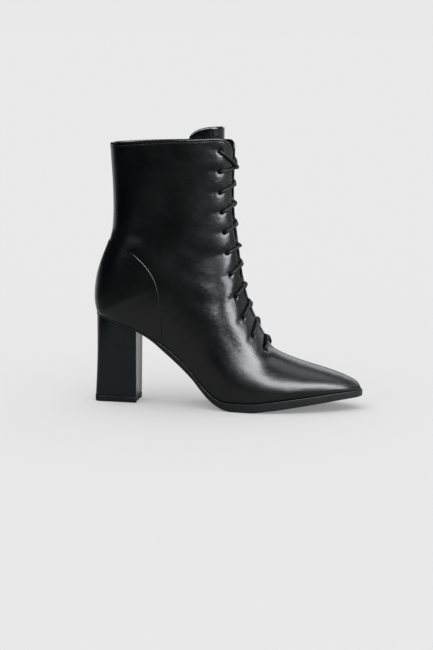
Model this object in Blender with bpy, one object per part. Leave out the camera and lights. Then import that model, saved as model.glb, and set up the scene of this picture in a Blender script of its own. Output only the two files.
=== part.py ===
"""Right ankle boot: pointed toe, block heel, criss-cross lacing over a tongue.

Worked out in millimetres and built in metres. +X is the toe, +Y the inner side of the foot, +Z is up.
X starts at the back of the last and Z at the floor. At the end the boot is moved so that its origin is
the middle of its box on the floor.
"""

import bpy
import numpy as np

METRES = 0.001

# Length, heights and widths of the last, in millimetres
LENGTH = 252.2
SEAT_HEIGHT = 83.6
SHAFT_HEIGHT = 160.0
FRONT_RISE = 4.0
BACK_HOLLOW = 14.4
TOE_SPRING = 12.0
BALL_WIDTH = 80.0
SEAT_WIDTH = 48.0
SHAFT_WIDTH = 62.0

# Sole, heel and insole
SOLE_EDGE = 8.3
EDGE_BEVEL = 0.9
HEEL_ROUND = 24.0
TOE_ROUND = 5.0
HEEL_DEPTH = 39.2
HEEL_TOP_WIDTH = 43.0
HEEL_TOP_BREAST = 34.0
HEEL_FOOT_WIDTH = 25.0
HEEL_FOOT_BREAST = 29.0
HEEL_FOOT_ROUND = 11.8
HEEL_WAIST = 1.2
TOP_PIECE_HEIGHT = 5.9
TOP_PIECE_FLARE = 0.3
INSOLE_THICKNESS = 2.2
INSOLE_GAP = 1.0

# Upper
UPPER_WALL = 2.0
FOOT_LEDGE = 1.0
TOE_LEDGE = 1.0
HEEL_LEDGE = 1.5
COUNTER_STEP = 0.8
COUNTER_ROOT = 1.0
COUNTER_LENGTH = 66.0
COUNTER_HEIGHT = 68.5
THROAT_HALF_GAP = 8.5
THROAT_LENGTH = 202.0
OUTER_CORNER = 12.0
INNER_CORNER = 8.0

# Tongue, eyelets and lace
TONGUE_THICKNESS = 2.2
TONGUE_RISE = 11.3
TONGUE_TOP_HALF = 52.0
TONGUE_FOOT_HALF = 20.0
TONGUE_TAIL = 14.0
TONGUE_GAP = 0.8
TONGUE_LEAN = 4.0
TONGUE_LEAN_DEPTH = 50.0
LACE_ROOM = 4.3
LACE_ROOM_HALF = 17.0
EYELETS = 11
EYELET_RADIUS = 1.9
EYELET_REACH = 24.0
EYELET_FIRST = 10.5
EYELET_LAST = 7.0
LACE_DIAMETER = 3.2

# Step that keeps the rows of the tongue's crest apart at its sides
TONGUE_CREST_STEP = 0.2

# Gap between pieces that meet
FIT = 0.3


def table(names, rows):
    """Columns of a table by name."""
    return dict(zip(names.split(), np.array(rows, float).T))


# Side view of the sole. station: share of LENGTH. rise: share of SEAT_HEIGHT. spring: share of
# TOE_SPRING. thick: share of SOLE_EDGE.
SOLE_SIDE = table("station rise spring thick", [
    (0.000, 1.000, 0.00, 0.24),
    (0.080, 0.928, 0.00, 0.24),
    (0.155, 0.845, 0.00, 0.25),
    (0.213, 0.749, 0.00, 0.42),
    (0.268, 0.615, 0.00, 0.68),
    (0.311, 0.506, 0.00, 0.80),
    (0.348, 0.407, 0.00, 0.77),
    (0.381, 0.311, 0.00, 0.70),
    (0.409, 0.214, 0.00, 0.69),
    (0.439, 0.122, 0.00, 0.75),
    (0.474, 0.048, 0.00, 0.78),
    (0.505, 0.011, 0.00, 0.90),
    (0.530, 0.000, 0.00, 0.97),
    (0.600, 0.000, 0.00, 1.00),
    (0.660, 0.000, 0.14, 0.99),
    (0.710, 0.000, 0.28, 0.99),
    (0.777, 0.000, 0.48, 0.95),
    (0.860, 0.000, 0.72, 0.90),
    (0.940, 0.000, 0.92, 0.82),
    (1.000, 0.000, 1.00, 0.74),
])

# Plan of the sole before its ends are rounded. swing: sideways place of the middle line, share of half
# the ball width, towards the inner side. seat, ball: shares of half of each width.
SOLE_PLAN = table("station swing seat ball", [
    (0.00, 0.000, 1.01, 0.000),
    (0.16, -0.020, 0.98, 0.000),
    (0.24, -0.045, 0.87, 0.050),
    (0.34, -0.090, 0.60, 0.225),
    (0.40, -0.115, 0.38, 0.430),
    (0.48, -0.120, 0.14, 0.720),
    (0.56, -0.095, 0.00, 0.940),
    (0.63, -0.055, 0.00, 1.000),
    (0.69, -0.015, 0.00, 0.995),
    (0.77, 0.025, 0.00, 0.900),
    (0.84, 0.055, 0.00, 0.760),
    (0.89, 0.075, 0.00, 0.625),
    (0.94, 0.095, 0.00, 0.450),
    (0.97, 0.107, 0.00, 0.315),
    (1.00, 0.118, 0.00, 0.150),
])

# Back line of the upper. height: share of SHAFT_HEIGHT. set: share of BACK_HOLLOW.
BACK_LINE = table("height set", [
    (0.000, 0.000),
    (0.036, -0.170),
    (0.080, -0.200),
    (0.144, -0.170),
    (0.216, -0.090),
    (0.288, 0.150),
    (0.361, 0.460),
    (0.433, 0.790),
    (0.507, 0.940),
    (0.610, 1.000),
    (0.751, 0.970),
    (0.858, 0.875),
    (1.000, 0.778),
])

# Front line of the upper, from the toe up the vamp and the facing to the collar. height: share of the
# way from the toe to the collar. along: share of the upper's own length.
FRONT_LINE = table("height along", [
    (0.000, 1.000),
    (0.010, 0.995),
    (0.028, 0.984),
    (0.050, 0.945),
    (0.076, 0.876),
    (0.106, 0.778),
    (0.140, 0.694),
    (0.160, 0.662),
    (0.197, 0.642),
    (0.238, 0.620),
    (0.296, 0.594),
    (0.381, 0.565),
    (0.479, 0.547),
    (0.599, 0.534),
    (0.719, 0.518),
    (0.800, 0.515),
    (1.000, 0.518),
])

# Sections of the upper, each on a plane square to the side view. under: where it starts, 0 toe to 1 heel
# along the sole, then 1 to 2 up the back line. over: where it ends, share of the front line's height.
# ball, shaft: its half width, as shares of half of each width. widest: how far up it is widest.
# tuck: 2 where its side stands straight on the sole, under 1 where it closes bluntly round the back.
# crown: roundness above the widest place. lean: sideways place of its top, share of half the ball width.
SECTIONS = table("under over ball shaft widest tuck crown lean", [
    (0.0000, 0.0000, 0.000, 0.000, 0.20, 2.00, 2.00, 0.118),
    (0.0052, 0.0103, 0.110, 0.000, 0.20, 2.00, 2.00, 0.118),
    (0.0167, 0.0275, 0.222, 0.000, 0.20, 2.00, 2.00, 0.116),
    (0.0426, 0.0442, 0.405, 0.000, 0.20, 2.00, 2.00, 0.112),
    (0.0863, 0.0626, 0.580, 0.000, 0.20, 2.00, 2.00, 0.107),
    (0.1500, 0.0837, 0.770, 0.000, 0.20, 2.00, 1.95, 0.100),
    (0.2216, 0.1064, 0.920, 0.000, 0.20, 2.00, 1.90, 0.095),
    (0.2852, 0.1296, 0.995, 0.000, 0.21, 2.00, 1.85, 0.090),
    (0.3449, 0.1549, 1.010, 0.000, 0.22, 2.00, 1.82, 0.085),
    (0.4045, 0.1870, 0.985, 0.000, 0.24, 2.00, 1.80, 0.078),
    (0.4602, 0.2300, 0.820, 0.170, 0.27, 2.00, 1.80, 0.070),
    (0.5159, 0.2814, 0.540, 0.460, 0.31, 2.00, 1.82, 0.060),
    (0.5716, 0.3372, 0.270, 0.755, 0.36, 2.00, 1.86, 0.050),
    (0.6352, 0.3930, 0.070, 0.975, 0.41, 2.00, 1.92, 0.040),
    (0.6989, 0.4359, 0.015, 1.045, 0.44, 2.00, 1.96, 0.028),
    (0.7625, 0.4745, 0.000, 1.060, 0.45, 1.90, 2.00, 0.020),
    (0.8341, 0.5109, 0.000, 1.066, 0.46, 1.70, 2.03, 0.015),
    (0.9057, 0.5431, 0.000, 1.070, 0.46, 1.35, 2.06, 0.010),
    (0.9614, 0.5667, 0.000, 1.070, 0.46, 1.00, 2.10, 0.005),
    (0.9893, 0.5817, 0.000, 1.068, 0.46, 0.82, 2.10, 0.000),
    (1.0000, 0.5946, 0.000, 1.065, 0.46, 0.76, 2.12, 0.000),
    (1.0700, 0.6203, 0.000, 1.060, 0.46, 0.76, 2.15, 0.000),
    (1.1600, 0.6550, 0.000, 1.050, 0.47, 0.78, 2.20, 0.000),
    (1.3200, 0.7210, 0.000, 1.022, 0.48, 0.84, 2.20, 0.000),
    (1.4600, 0.7790, 0.000, 1.000, 0.48, 0.88, 2.20, 0.000),
    (1.6000, 0.8380, 0.000, 0.985, 0.49, 0.92, 2.20, 0.000),
    (2.0000, 1.0000, 0.000, 1.000, 0.50, 0.92, 2.20, 0.000),
])
CLOSED_ROW = 20
FINE_ROW_STEP = 0.5
LOWER_COLUMNS = 5
UPPER_COLUMNS = 8

# Seam of the counter in side view. along: share of COUNTER_LENGTH from the back of the sole.
# height: share of COUNTER_HEIGHT above the seat, less than 0 below it.
COUNTER_SEAM = table("along height", [
    (0.20, 1.000),
    (0.36, 0.950),
    (0.58, 0.860),
    (0.82, 0.645),
    (0.92, 0.475),
    (0.965, 0.320),
    (0.985, 0.140),
    (0.995, -0.050),
    (1.00, -0.280),
    (1.00, -0.600),
])

# The throat. climb: share of THROAT_LENGTH up from its lower end. gap: half gap between the facings,
# share of THROAT_HALF_GAP. hole: distance of the eyelets from the front line, share of EYELET_REACH.
THROAT = table("climb gap hole", [
    (-0.012, 0.05, 0.62),
    (0.000, 0.14, 0.64),
    (0.060, 0.30, 0.74),
    (0.120, 0.47, 0.88),
    (0.180, 0.62, 0.92),
    (0.400, 0.92, 0.885),
    (0.600, 1.00, 0.85),
    (0.800, 0.90, 0.94),
    (1.000, 0.76, 1.00),
])

# Eyelets lie a little closer together near the collar: 1 is even spacing
EYELET_SPREAD = 1.05


def curve(xs, ys, at):
    """Smooth curve through a table's rows, which doesn't overshoot between them."""
    xs, ys, at = (np.asarray(values, float) for values in (xs, ys, at))
    step = np.diff(xs)
    slope = np.diff(ys) / step
    turn = slope[:-1] * slope[1:] > 0
    early = 2 * step[1:] + step[:-1]
    late = step[1:] + 2 * step[:-1]
    before = np.where(turn, slope[:-1], 1.0)
    after = np.where(turn, slope[1:], 1.0)
    middle = np.where(turn, (early + late) / (early / before + late / after), 0.0)
    tangent = np.concatenate([slope[:1], middle, slope[-1:]])
    row = np.clip(np.searchsorted(xs, at, side="right") - 1, 0, len(step) - 1)
    t = np.clip((at - xs[row]) / step[row], 0.0, 1.0)
    from_row = (1 + 2 * t) * (1 - t) ** 2 * ys[row] + t * (1 - t) ** 2 * step[row] * tangent[row]
    to_row = t * t * (3 - 2 * t) * ys[row + 1] + t * t * (t - 1) * step[row] * tangent[row + 1]
    return from_row + to_row


def sole_bottom(x):
    share = np.asarray(x) / LENGTH
    rise = curve(SOLE_SIDE["station"], SOLE_SIDE["rise"], share) * SEAT_HEIGHT
    return rise + curve(SOLE_SIDE["station"], SOLE_SIDE["spring"], share) * TOE_SPRING


def sole_top(x):
    thick = curve(SOLE_SIDE["station"], SOLE_SIDE["thick"], np.asarray(x) / LENGTH)
    return sole_bottom(x) + thick * SOLE_EDGE


def sole_middle(x):
    return curve(SOLE_PLAN["station"], SOLE_PLAN["swing"], np.asarray(x) / LENGTH) * BALL_WIDTH / 2


def sole_half(x, back, tip, inset=0.0):
    """Half width of a plan like the sole's, from back to tip, drawn in by inset."""
    x = np.asarray(x, float)
    seat = curve(SOLE_PLAN["station"], SOLE_PLAN["seat"], x / LENGTH) * SEAT_WIDTH / 2
    ball = curve(SOLE_PLAN["station"], SOLE_PLAN["ball"], x / LENGTH) * BALL_WIDTH / 2
    heel = np.clip(1 - (x - back) / HEEL_ROUND, 0, 1)
    toe = np.clip(1 - (tip - x) / TOE_ROUND, 0, 1)
    return (seat + ball - inset) * np.sqrt(1 - heel ** 2) * np.sqrt(1 - toe ** 2)


SEAT_TOP = float(sole_top(0.0)) + FIT
COLLAR_BACK = SEAT_TOP + SHAFT_HEIGHT
COLLAR_FRONT = COLLAR_BACK + FRONT_RISE
UPPER_TIP = LENGTH - TOE_LEDGE
UPPER_HEEL = FIT
TOE_BASE = float(sole_top(UPPER_TIP)) + FIT


def front_point(height):
    """Place (x, z) on the front line."""
    along = curve(FRONT_LINE["height"], FRONT_LINE["along"], height) * UPPER_TIP
    return along, TOE_BASE + height * (COLLAR_FRONT - TOE_BASE)


def under_point(under):
    """Place (x, z) on the line that runs back along the sole and then up the back of the shaft."""
    foot_x = UPPER_TIP + (UPPER_HEEL - UPPER_TIP) * np.clip(under, 0, 1)
    climb = np.clip(under - 1, 0, 1)
    back_x = UPPER_HEEL + curve(BACK_LINE["height"], BACK_LINE["set"], climb) * BACK_HOLLOW
    foot = under <= 1
    x = np.where(foot, foot_x, back_x)
    z = np.where(foot, sole_top(foot_x) + FIT, SEAT_TOP + climb * SHAFT_HEIGHT)
    return x, z


def section_points(rows, angles):
    """Points of the upper's outer face. rows: places in SECTIONS. angles: -2 to 2, outer foot to inner foot.

    From 2 to 1 a side swells from the sole to its widest place as a power of a cosine. From 1 to 0 it
    closes over the top as a superellipse.
    """
    order = np.arange(len(SECTIONS["under"]))
    read = {name: curve(order, values, rows)[:, None] for name, values in SECTIONS.items()}
    under_x, under_z = under_point(read["under"])
    over_x, over_z = front_point(read["over"])
    standing = read["under"] < 1
    foot = np.where(standing, sole_half(under_x, UPPER_HEEL, UPPER_TIP, FOOT_LEDGE), 0.0)
    middle = np.where(standing, sole_middle(under_x), 0.0) * np.clip((1 - read["under"]) * 8, 0, 1)
    half = (read["ball"] * BALL_WIDTH + read["shaft"] * SHAFT_WIDTH) / 2
    side = np.sign(angles)[None, :]
    turn = np.abs(angles)[None, :]
    low = turn >= 1
    lift = np.pi / 2 * np.clip(turn - 1, 0, 1)
    close = np.pi / 2 * np.clip(1 - turn, 0, 1)
    low_share = read["widest"] * (1 - np.sin(lift) ** np.minimum(read["tuck"], 1.0))
    low_half = foot + (half - foot) * np.cos(lift) ** read["tuck"]
    power = 2 / read["crown"]
    high_share = read["widest"] + (1 - read["widest"]) * np.sin(close) ** power
    high_half = half * np.clip(np.cos(close), 0, 1) ** power
    share = np.where(low, low_share, high_share)
    width = np.where(low, low_half, high_half)
    top = read["lean"] * BALL_WIDTH / 2
    y = middle + (top - middle) * share ** 1.5 + side * width
    x = under_x + (over_x - under_x) * share
    z = under_z + (over_z - under_z) * share
    return np.stack([x, y, z], axis=-1)


def column_angles():
    """From the outer foot edge over the top to the inner one."""
    rise = 2 - np.arange(LOWER_COLUMNS) / LOWER_COLUMNS
    close = 1 - np.arange(UPPER_COLUMNS + 1) / UPPER_COLUMNS
    outer = np.concatenate([rise, close])
    return np.concatenate([-outer, outer[-2::-1]])


def section_rows():
    """Places in SECTIONS at which the solids have a row of points."""
    fine = np.arange(0, CLOSED_ROW + 2, FINE_ROW_STEP)
    coarse = np.arange(CLOSED_ROW + 2, len(SECTIONS["under"]) - 0.5)
    return np.concatenate([fine, coarse])


def outward(points, closed):
    """Unit normals of a grid of points. closed says which rows run all the way round."""
    along = np.gradient(points, axis=0)
    across = np.gradient(points, axis=1)
    wrapped = points[:, 1] - points[:, -2]
    across[closed, 0] = wrapped[closed]
    across[closed, -1] = wrapped[closed]
    normal = np.cross(across, along)
    length = np.linalg.norm(normal, axis=-1, keepdims=True)
    normal = normal / np.maximum(length, 1e-9)
    normal[0] = (1.0, 0.0, 0.0)
    return normal


def upper_face(offset):
    """The upper's outer face moved outwards by offset, with its foot kept on the sole."""
    rows = section_rows()
    points = section_points(rows, column_angles())
    closed = rows >= CLOSED_ROW
    face = points + offset * outward(points, closed)
    face[closed, -1] = face[closed, 0]
    middle = len(face[0]) // 2
    foot = ~closed
    foot[0] = False
    for edge in (0, -1):
        face[foot, edge, 2] = sole_top(face[foot, edge, 0]) + FIT
    standing = rows <= CLOSED_ROW
    floor = sole_top(np.clip(face[standing, :, 0], 0, LENGTH)) + FIT
    face[standing, :, 2] = np.maximum(face[standing, :, 2], floor)
    face[rows == CLOSED_ROW, 0, 2] = SEAT_TOP
    face[rows == CLOSED_ROW, -1, 2] = SEAT_TOP
    face[0] = face[0, middle]
    face[0, :, 2] = TOE_BASE
    return face, closed


def new_object(name, points, faces, material):
    """A mesh object from points in millimetres, with repeated corners dropped from its faces."""
    mesh = bpy.data.meshes.new(name)
    corners = [list(dict.fromkeys(face)) for face in faces]
    corners = [face for face in corners if len(face) > 2]
    used = sorted({index for face in corners for index in face})
    place = {old: new for new, old in enumerate(used)}
    kept = np.asarray(points, float)[used] * METRES
    mesh.from_pydata(kept.tolist(), [], [[place[index] for index in face] for face in corners])
    mesh.validate()
    obj = bpy.data.objects.new(name, mesh)
    bpy.context.scene.collection.objects.link(obj)
    if material:
        mesh.materials.append(material)
        mesh.shade_smooth()
        mesh.set_sharp_from_angle(angle=np.radians(38))
    return obj


def helper(obj):
    """Marks an object that only shapes another one."""
    obj.hide_render = True
    obj.display_type = "WIRE"
    return obj


def combine(obj, other, operation):
    modifier = obj.modifiers.new(other.name, "BOOLEAN")
    modifier.operation = operation
    modifier.object = other
    modifier.solver = "EXACT"


def finish(name, colour, roughness, coat=0.0):
    """A Principled material. colour is linear."""
    material = bpy.data.materials.new(name)
    material.use_nodes = True
    shader = material.node_tree.nodes["Principled BSDF"]
    shader.inputs["Base Color"].default_value = (*colour, 1.0)
    shader.inputs["Roughness"].default_value = roughness
    shader.inputs["Metallic"].default_value = 0.0
    shader.inputs["Coat Weight"].default_value = coat
    material.diffuse_color = (*colour, 1.0)
    return material


def shell(name, outer_offset, inner_offset, material):
    """Closed solid between two forms of the upper, open underneath and at the collar."""
    outer, closed = upper_face(outer_offset)
    inner, _ = upper_face(inner_offset)
    rows, columns = outer.shape[:2]
    index = np.arange(rows * columns).reshape(rows, columns)
    index[closed, -1] = index[closed, 0]
    index[0] = index[0, 0]
    inside = index + rows * columns
    faces = []
    for j in range(rows - 1):
        for i in range(columns - 1):
            faces.append([index[j, i], index[j, i + 1], index[j + 1, i + 1], index[j + 1, i]])
            faces.append([inside[j, i], inside[j + 1, i], inside[j + 1, i + 1], inside[j, i + 1]])
    for j in range(np.flatnonzero(closed)[0]):
        faces.append([index[j, 0], index[j + 1, 0], inside[j + 1, 0], inside[j, 0]])
        faces.append([index[j, -1], inside[j, -1], inside[j + 1, -1], index[j + 1, -1]])
    for i in range(columns - 1):
        faces.append([index[-1, i], index[-1, i + 1], inside[-1, i + 1], inside[-1, i]])
    points = np.concatenate([outer.reshape(-1, 3), inner.reshape(-1, 3)])
    return new_object(name, points, faces, material)


def rings(name, points, material, closed_ends=True):
    """Solid from rings of points, one row for each ring, with flat ends."""
    count, size = points.shape[:2]
    index = np.arange(count * size).reshape(count, size)
    following = np.roll(index, -1, axis=1)
    faces = []
    for j in range(count - 1):
        for i in range(size):
            faces.append([index[j, i], following[j, i], following[j + 1, i], index[j + 1, i]])
    if closed_ends:
        faces.append(list(index[0, ::-1]))
        faces.append(list(index[-1]))
    return new_object(name, points.reshape(-1, 3), faces, material)


def front_path():
    """Dense (x, z) places on the front line, their heights and their distance down from the collar."""
    height = np.linspace(1.0, 0.02, 900)
    x, z = front_point(height)
    run = np.concatenate([[0.0], np.cumsum(np.hypot(np.diff(x), np.diff(z)))])
    return height, x, z, run


def row_at_drop(drop):
    """Place in SECTIONS whose top lies this far down the front line from the collar."""
    height, _, _, run = front_path()
    wanted = np.interp(drop, run, height)
    order = np.linspace(0, len(SECTIONS["over"]) - 1, 2000)
    over = curve(np.arange(len(SECTIONS["over"])), SECTIONS["over"], order)
    return np.interp(wanted, over, order)


def facing_points(drop, reach, lift=0.0):
    """Points of the upper near its front. drop: distance down from the collar along the front line.

    reach: distance round the section from the front line, inner side positive. lift: distance out from
    the outer face. drop, reach and lift are arrays of one length. Returns the points and their normals.
    """
    drop, reach, lift = (np.atleast_1d(np.asarray(v, float)) for v in np.broadcast_arrays(drop, reach, lift))
    angles = np.linspace(-1.6, 1.6, 161)
    nudge = 0.6
    points = section_points(row_at_drop(drop), angles)
    above = section_points(row_at_drop(np.maximum(drop - nudge, 0)), angles)
    below = section_points(row_at_drop(drop + nudge), angles)
    normal = np.cross(np.gradient(points, axis=1), above - below)
    normal /= np.linalg.norm(normal, axis=-1, keepdims=True)
    run = np.concatenate([np.zeros((len(points), 1)),
                          np.cumsum(np.linalg.norm(np.diff(points, axis=1), axis=-1), axis=1)], axis=1)
    run -= run[:, [len(angles) // 2]]
    place = np.empty((len(points), 3))
    out = np.empty((len(points), 3))
    for k in range(len(points)):
        for axis in range(3):
            place[k, axis] = np.interp(reach[k], run[k], points[k, :, axis])
            out[k, axis] = np.interp(reach[k], run[k], normal[k, :, axis])
    out /= np.linalg.norm(out, axis=-1, keepdims=True)
    return place + out * lift[:, None], out


def half_gap(drop):
    """Half of the gap between the facings at this distance down from the collar."""
    climb = 1 - np.asarray(drop) / THROAT_LENGTH
    return curve(THROAT["climb"], THROAT["gap"], climb) * THROAT_HALF_GAP


def sole_stations():
    """Places along the sole: those of the upper's rows, and a few where the sole stands out past it."""
    rows = np.arange(0, CLOSED_ROW + FINE_ROW_STEP, FINE_ROW_STEP)
    under = curve(np.arange(len(SECTIONS["under"])), SECTIONS["under"], rows)
    toe = UPPER_TIP + TOE_LEDGE * np.array([1.0, 0.93, 0.75, 0.4])
    back = -HEEL_LEDGE * np.array([1.0, 0.9, 0.5])
    return np.concatenate([back, under_point(under)[0][::-1], toe[::-1]])


def make_outsole(material):
    x = sole_stations()
    half = np.maximum(sole_half(x, -HEEL_LEDGE, LENGTH), 0.5)
    middle = sole_middle(x)
    top, bottom = sole_top(x), sole_bottom(x)
    bevel = np.minimum(EDGE_BEVEL, half * 0.5)
    shoulder = bottom + np.minimum(EDGE_BEVEL, (top - bottom) * 0.4)
    ring = [
        (middle - half, top), (middle - half, shoulder), (middle - half + bevel, bottom),
        (middle + half - bevel, bottom), (middle + half, shoulder), (middle + half, top),
    ]
    points = np.stack([np.stack([x, y, z], axis=-1) for y, z in ring], axis=1)
    return rings("outsole", points, material)


def make_insole(material):
    inset = FOOT_LEDGE + UPPER_WALL + INSOLE_GAP
    back = UPPER_HEEL + UPPER_WALL + INSOLE_GAP
    tip = UPPER_TIP - 3 * UPPER_WALL - INSOLE_GAP
    shared = sole_stations()
    shared = shared[(shared > back + 1) & (shared < tip - TOE_ROUND)]
    x = np.concatenate([back + np.array([0.0, 0.25]), shared, tip - TOE_ROUND * np.array([0.6, 0.25, 0.06, 0.0])])
    half = np.maximum(sole_half(x, back, tip, inset), 0.4)
    middle = sole_middle(x)
    low = sole_top(x) + FIT
    high = low + INSOLE_THICKNESS
    ring = [(middle - half, high), (middle - half, low), (middle + half, low), (middle + half, high)]
    points = np.stack([np.stack([x, y, z], axis=-1) for y, z in ring], axis=1)
    return rings("insole", points, material)


def heel_plan(level, flare=0.0):
    """Plan of the heel at a level, 0 at the floor end and 1 at the seat. The back is a superellipse."""
    turn = np.radians(np.linspace(-90, 90, 15))
    squareness = 5.0 - 3.0 * level
    power = 2 / squareness
    back_half = (HEEL_FOOT_WIDTH + (HEEL_TOP_WIDTH - HEEL_FOOT_WIDTH) * level) / 2
    breast_half = (HEEL_FOOT_BREAST + (HEEL_TOP_BREAST - HEEL_FOOT_BREAST) * level) / 2
    round_depth = HEEL_FOOT_ROUND + (HEEL_ROUND - HEEL_FOOT_ROUND) * level
    back = HEEL_WAIST * np.sin(np.pi * level) + FIT * level - HEEL_LEDGE
    x = back + round_depth - np.abs(np.cos(turn)) ** power * round_depth
    y = np.sign(np.sin(turn)) * np.abs(np.sin(turn)) ** power * back_half
    ring_x = np.concatenate([[HEEL_DEPTH], x - flare, [HEEL_DEPTH]])
    ring_y = np.concatenate([[-breast_half - flare], y * (1 + flare / back_half), [breast_half + flare]])
    return ring_x, ring_y


def make_heel_block(material):
    levels = np.linspace(0, 1, 7)
    low = TOP_PIECE_HEIGHT + FIT
    rows = []
    for level in levels:
        x, y = heel_plan(level)
        high = sole_bottom(heel_plan(1.0)[0]) - FIT
        rows.append(np.stack([x, y, low + (high - low) * level], axis=-1))
    return rings("heel_block", np.array(rows)[:, ::-1], material)


def make_top_piece(material):
    x, y = heel_plan(0.0, TOP_PIECE_FLARE)
    rows = [np.stack([x, y, np.full(len(x), z)], axis=-1) for z in (0.0, TOP_PIECE_HEIGHT)]
    return rings("top_piece", np.array(rows)[:, ::-1], material)


def counter_solid(material):
    """Heel counter: a slightly larger form of the upper, kept behind the counter's seam."""
    counter = helper(shell("counter_form", COUNTER_STEP, -COUNTER_ROOT, material))
    t = np.linspace(0, len(COUNTER_SEAM["along"]) - 1, 28)
    order = np.arange(len(COUNTER_SEAM["along"]))
    x = curve(order, COUNTER_SEAM["along"], t) * COUNTER_LENGTH
    z = SEAT_TOP + curve(order, COUNTER_SEAM["height"], t) * COUNTER_HEIGHT
    behind = -COUNTER_LENGTH / 2
    x = np.concatenate([[behind], x, [behind]])
    z = np.concatenate([z[:1], z, z[-1:]])
    rows = [np.stack([x, np.full(len(x), y), z], axis=-1) for y in (-SHAFT_WIDTH, SHAFT_WIDTH)]
    prism = helper(rings("counter_outline", np.array(rows), None))
    combine(counter, prism, "INTERSECT")
    return counter


def throat_cutter():
    """Ribbon along the front line whose width is the gap between the facings, with rounded top corners."""
    reach_out, reach_in, over_top = 12.0, 9.0, 6.0
    corner_rows = np.linspace(0, OUTER_CORNER, 7)
    straight_rows = np.linspace(OUTER_CORNER, THROAT_LENGTH, 25)[1:]
    lower_end = THROAT_LENGTH * (1 - THROAT["climb"][0])
    drop = np.concatenate([[-over_top], corner_rows, straight_rows, [lower_end]])
    _, path_x, path_z, run = front_path()
    x = np.interp(drop, run, path_x)
    z = np.interp(drop, run, path_z) + np.where(drop < 0, -drop, 0)
    slope_x = np.gradient(x)
    slope_z = np.gradient(z)
    length = np.hypot(slope_x, slope_z)
    out_x, out_z = -slope_z / length, slope_x / length
    gap = np.maximum(half_gap(np.maximum(drop, 0)), 0.4)

    def widened(corner):
        fall = np.clip(corner - np.maximum(drop, 0), 0, corner)
        return gap + corner - np.sqrt(corner ** 2 - fall ** 2)

    outer, inner = widened(OUTER_CORNER), widened(INNER_CORNER)
    middle = np.interp(drop, *middle_line())
    deep = reach_in + 1.1 * np.maximum(outer - gap, 0)
    ring = [
        (x + out_x * reach_out, middle - outer, z + out_z * reach_out),
        (x - out_x * deep, middle - outer, z - out_z * deep),
        (x - out_x * deep, middle + inner, z - out_z * deep),
        (x + out_x * reach_out, middle + inner, z + out_z * reach_out),
    ]
    points = np.stack([np.stack(corner, axis=-1) for corner in ring], axis=1)
    return helper(rings("throat_cutter", points, None))


def middle_line():
    """Distances down from the collar, and the sideways place of the front line there."""
    drop = np.linspace(0, THROAT_LENGTH * 1.05, 40)
    rows = row_at_drop(drop)
    lean = curve(np.arange(len(SECTIONS["lean"])), SECTIONS["lean"], rows)
    return drop, lean * BALL_WIDTH / 2


def eyelet_drops():
    """Distances of the eyelets down from the collar."""
    share = np.linspace(0, 1, EYELETS) ** EYELET_SPREAD
    return EYELET_FIRST + (THROAT_LENGTH - EYELET_LAST - EYELET_FIRST) * share


def eyelet_reach(drop):
    """Distance of an eyelet round the section from the front line."""
    climb = 1 - np.asarray(drop) / THROAT_LENGTH
    return curve(THROAT["climb"], THROAT["hole"], climb) * EYELET_REACH


def tube_rings(path, radius, sides):
    """Rings of points round a path, each square to it."""
    ahead = np.gradient(path, axis=0)
    ahead /= np.linalg.norm(ahead, axis=-1, keepdims=True)
    guide = np.array([0.3, 0.1, 1.0])
    first = np.cross(ahead, guide)
    first /= np.linalg.norm(first, axis=-1, keepdims=True)
    second = np.cross(ahead, first)
    turn = np.arange(sides) * 2 * np.pi / sides
    ring = first[:, None] * np.cos(turn)[:, None] + second[:, None] * np.sin(turn)[:, None]
    return path[:, None] + ring * radius


def hole_cutter():
    """Every eyelet's hole, as one set of short round bars."""
    drop = np.repeat(eyelet_drops(), 2)
    side = np.tile([-1.0, 1.0], EYELETS)
    place, out = facing_points(drop, side * eyelet_reach(drop))
    sides = 8
    half_bar = 2.5 * UPPER_WALL
    points, faces = [], []
    for centre, normal in zip(place, out):
        path = np.array([centre - normal * half_bar, centre + normal * half_bar])
        bar = tube_rings(path, EYELET_RADIUS, sides)
        index = np.arange(2 * sides).reshape(2, sides) + len(points) * 2 * sides
        following = np.roll(index, -1, axis=1)
        faces += [[index[0, i], following[0, i], following[1, i], index[1, i]] for i in range(sides)]
        faces += [list(index[0, ::-1]), list(index[1])]
        points.append(bar.reshape(-1, 3))
    return helper(new_object("hole_cutter", np.concatenate(points), faces, None))


def make_upper(material):
    upper = shell("upper", 0.0, -UPPER_WALL, material)
    combine(upper, counter_solid(material), "UNION")
    combine(upper, throat_cutter(), "DIFFERENCE")
    combine(upper, hole_cutter(), "DIFFERENCE")
    return upper


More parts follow.
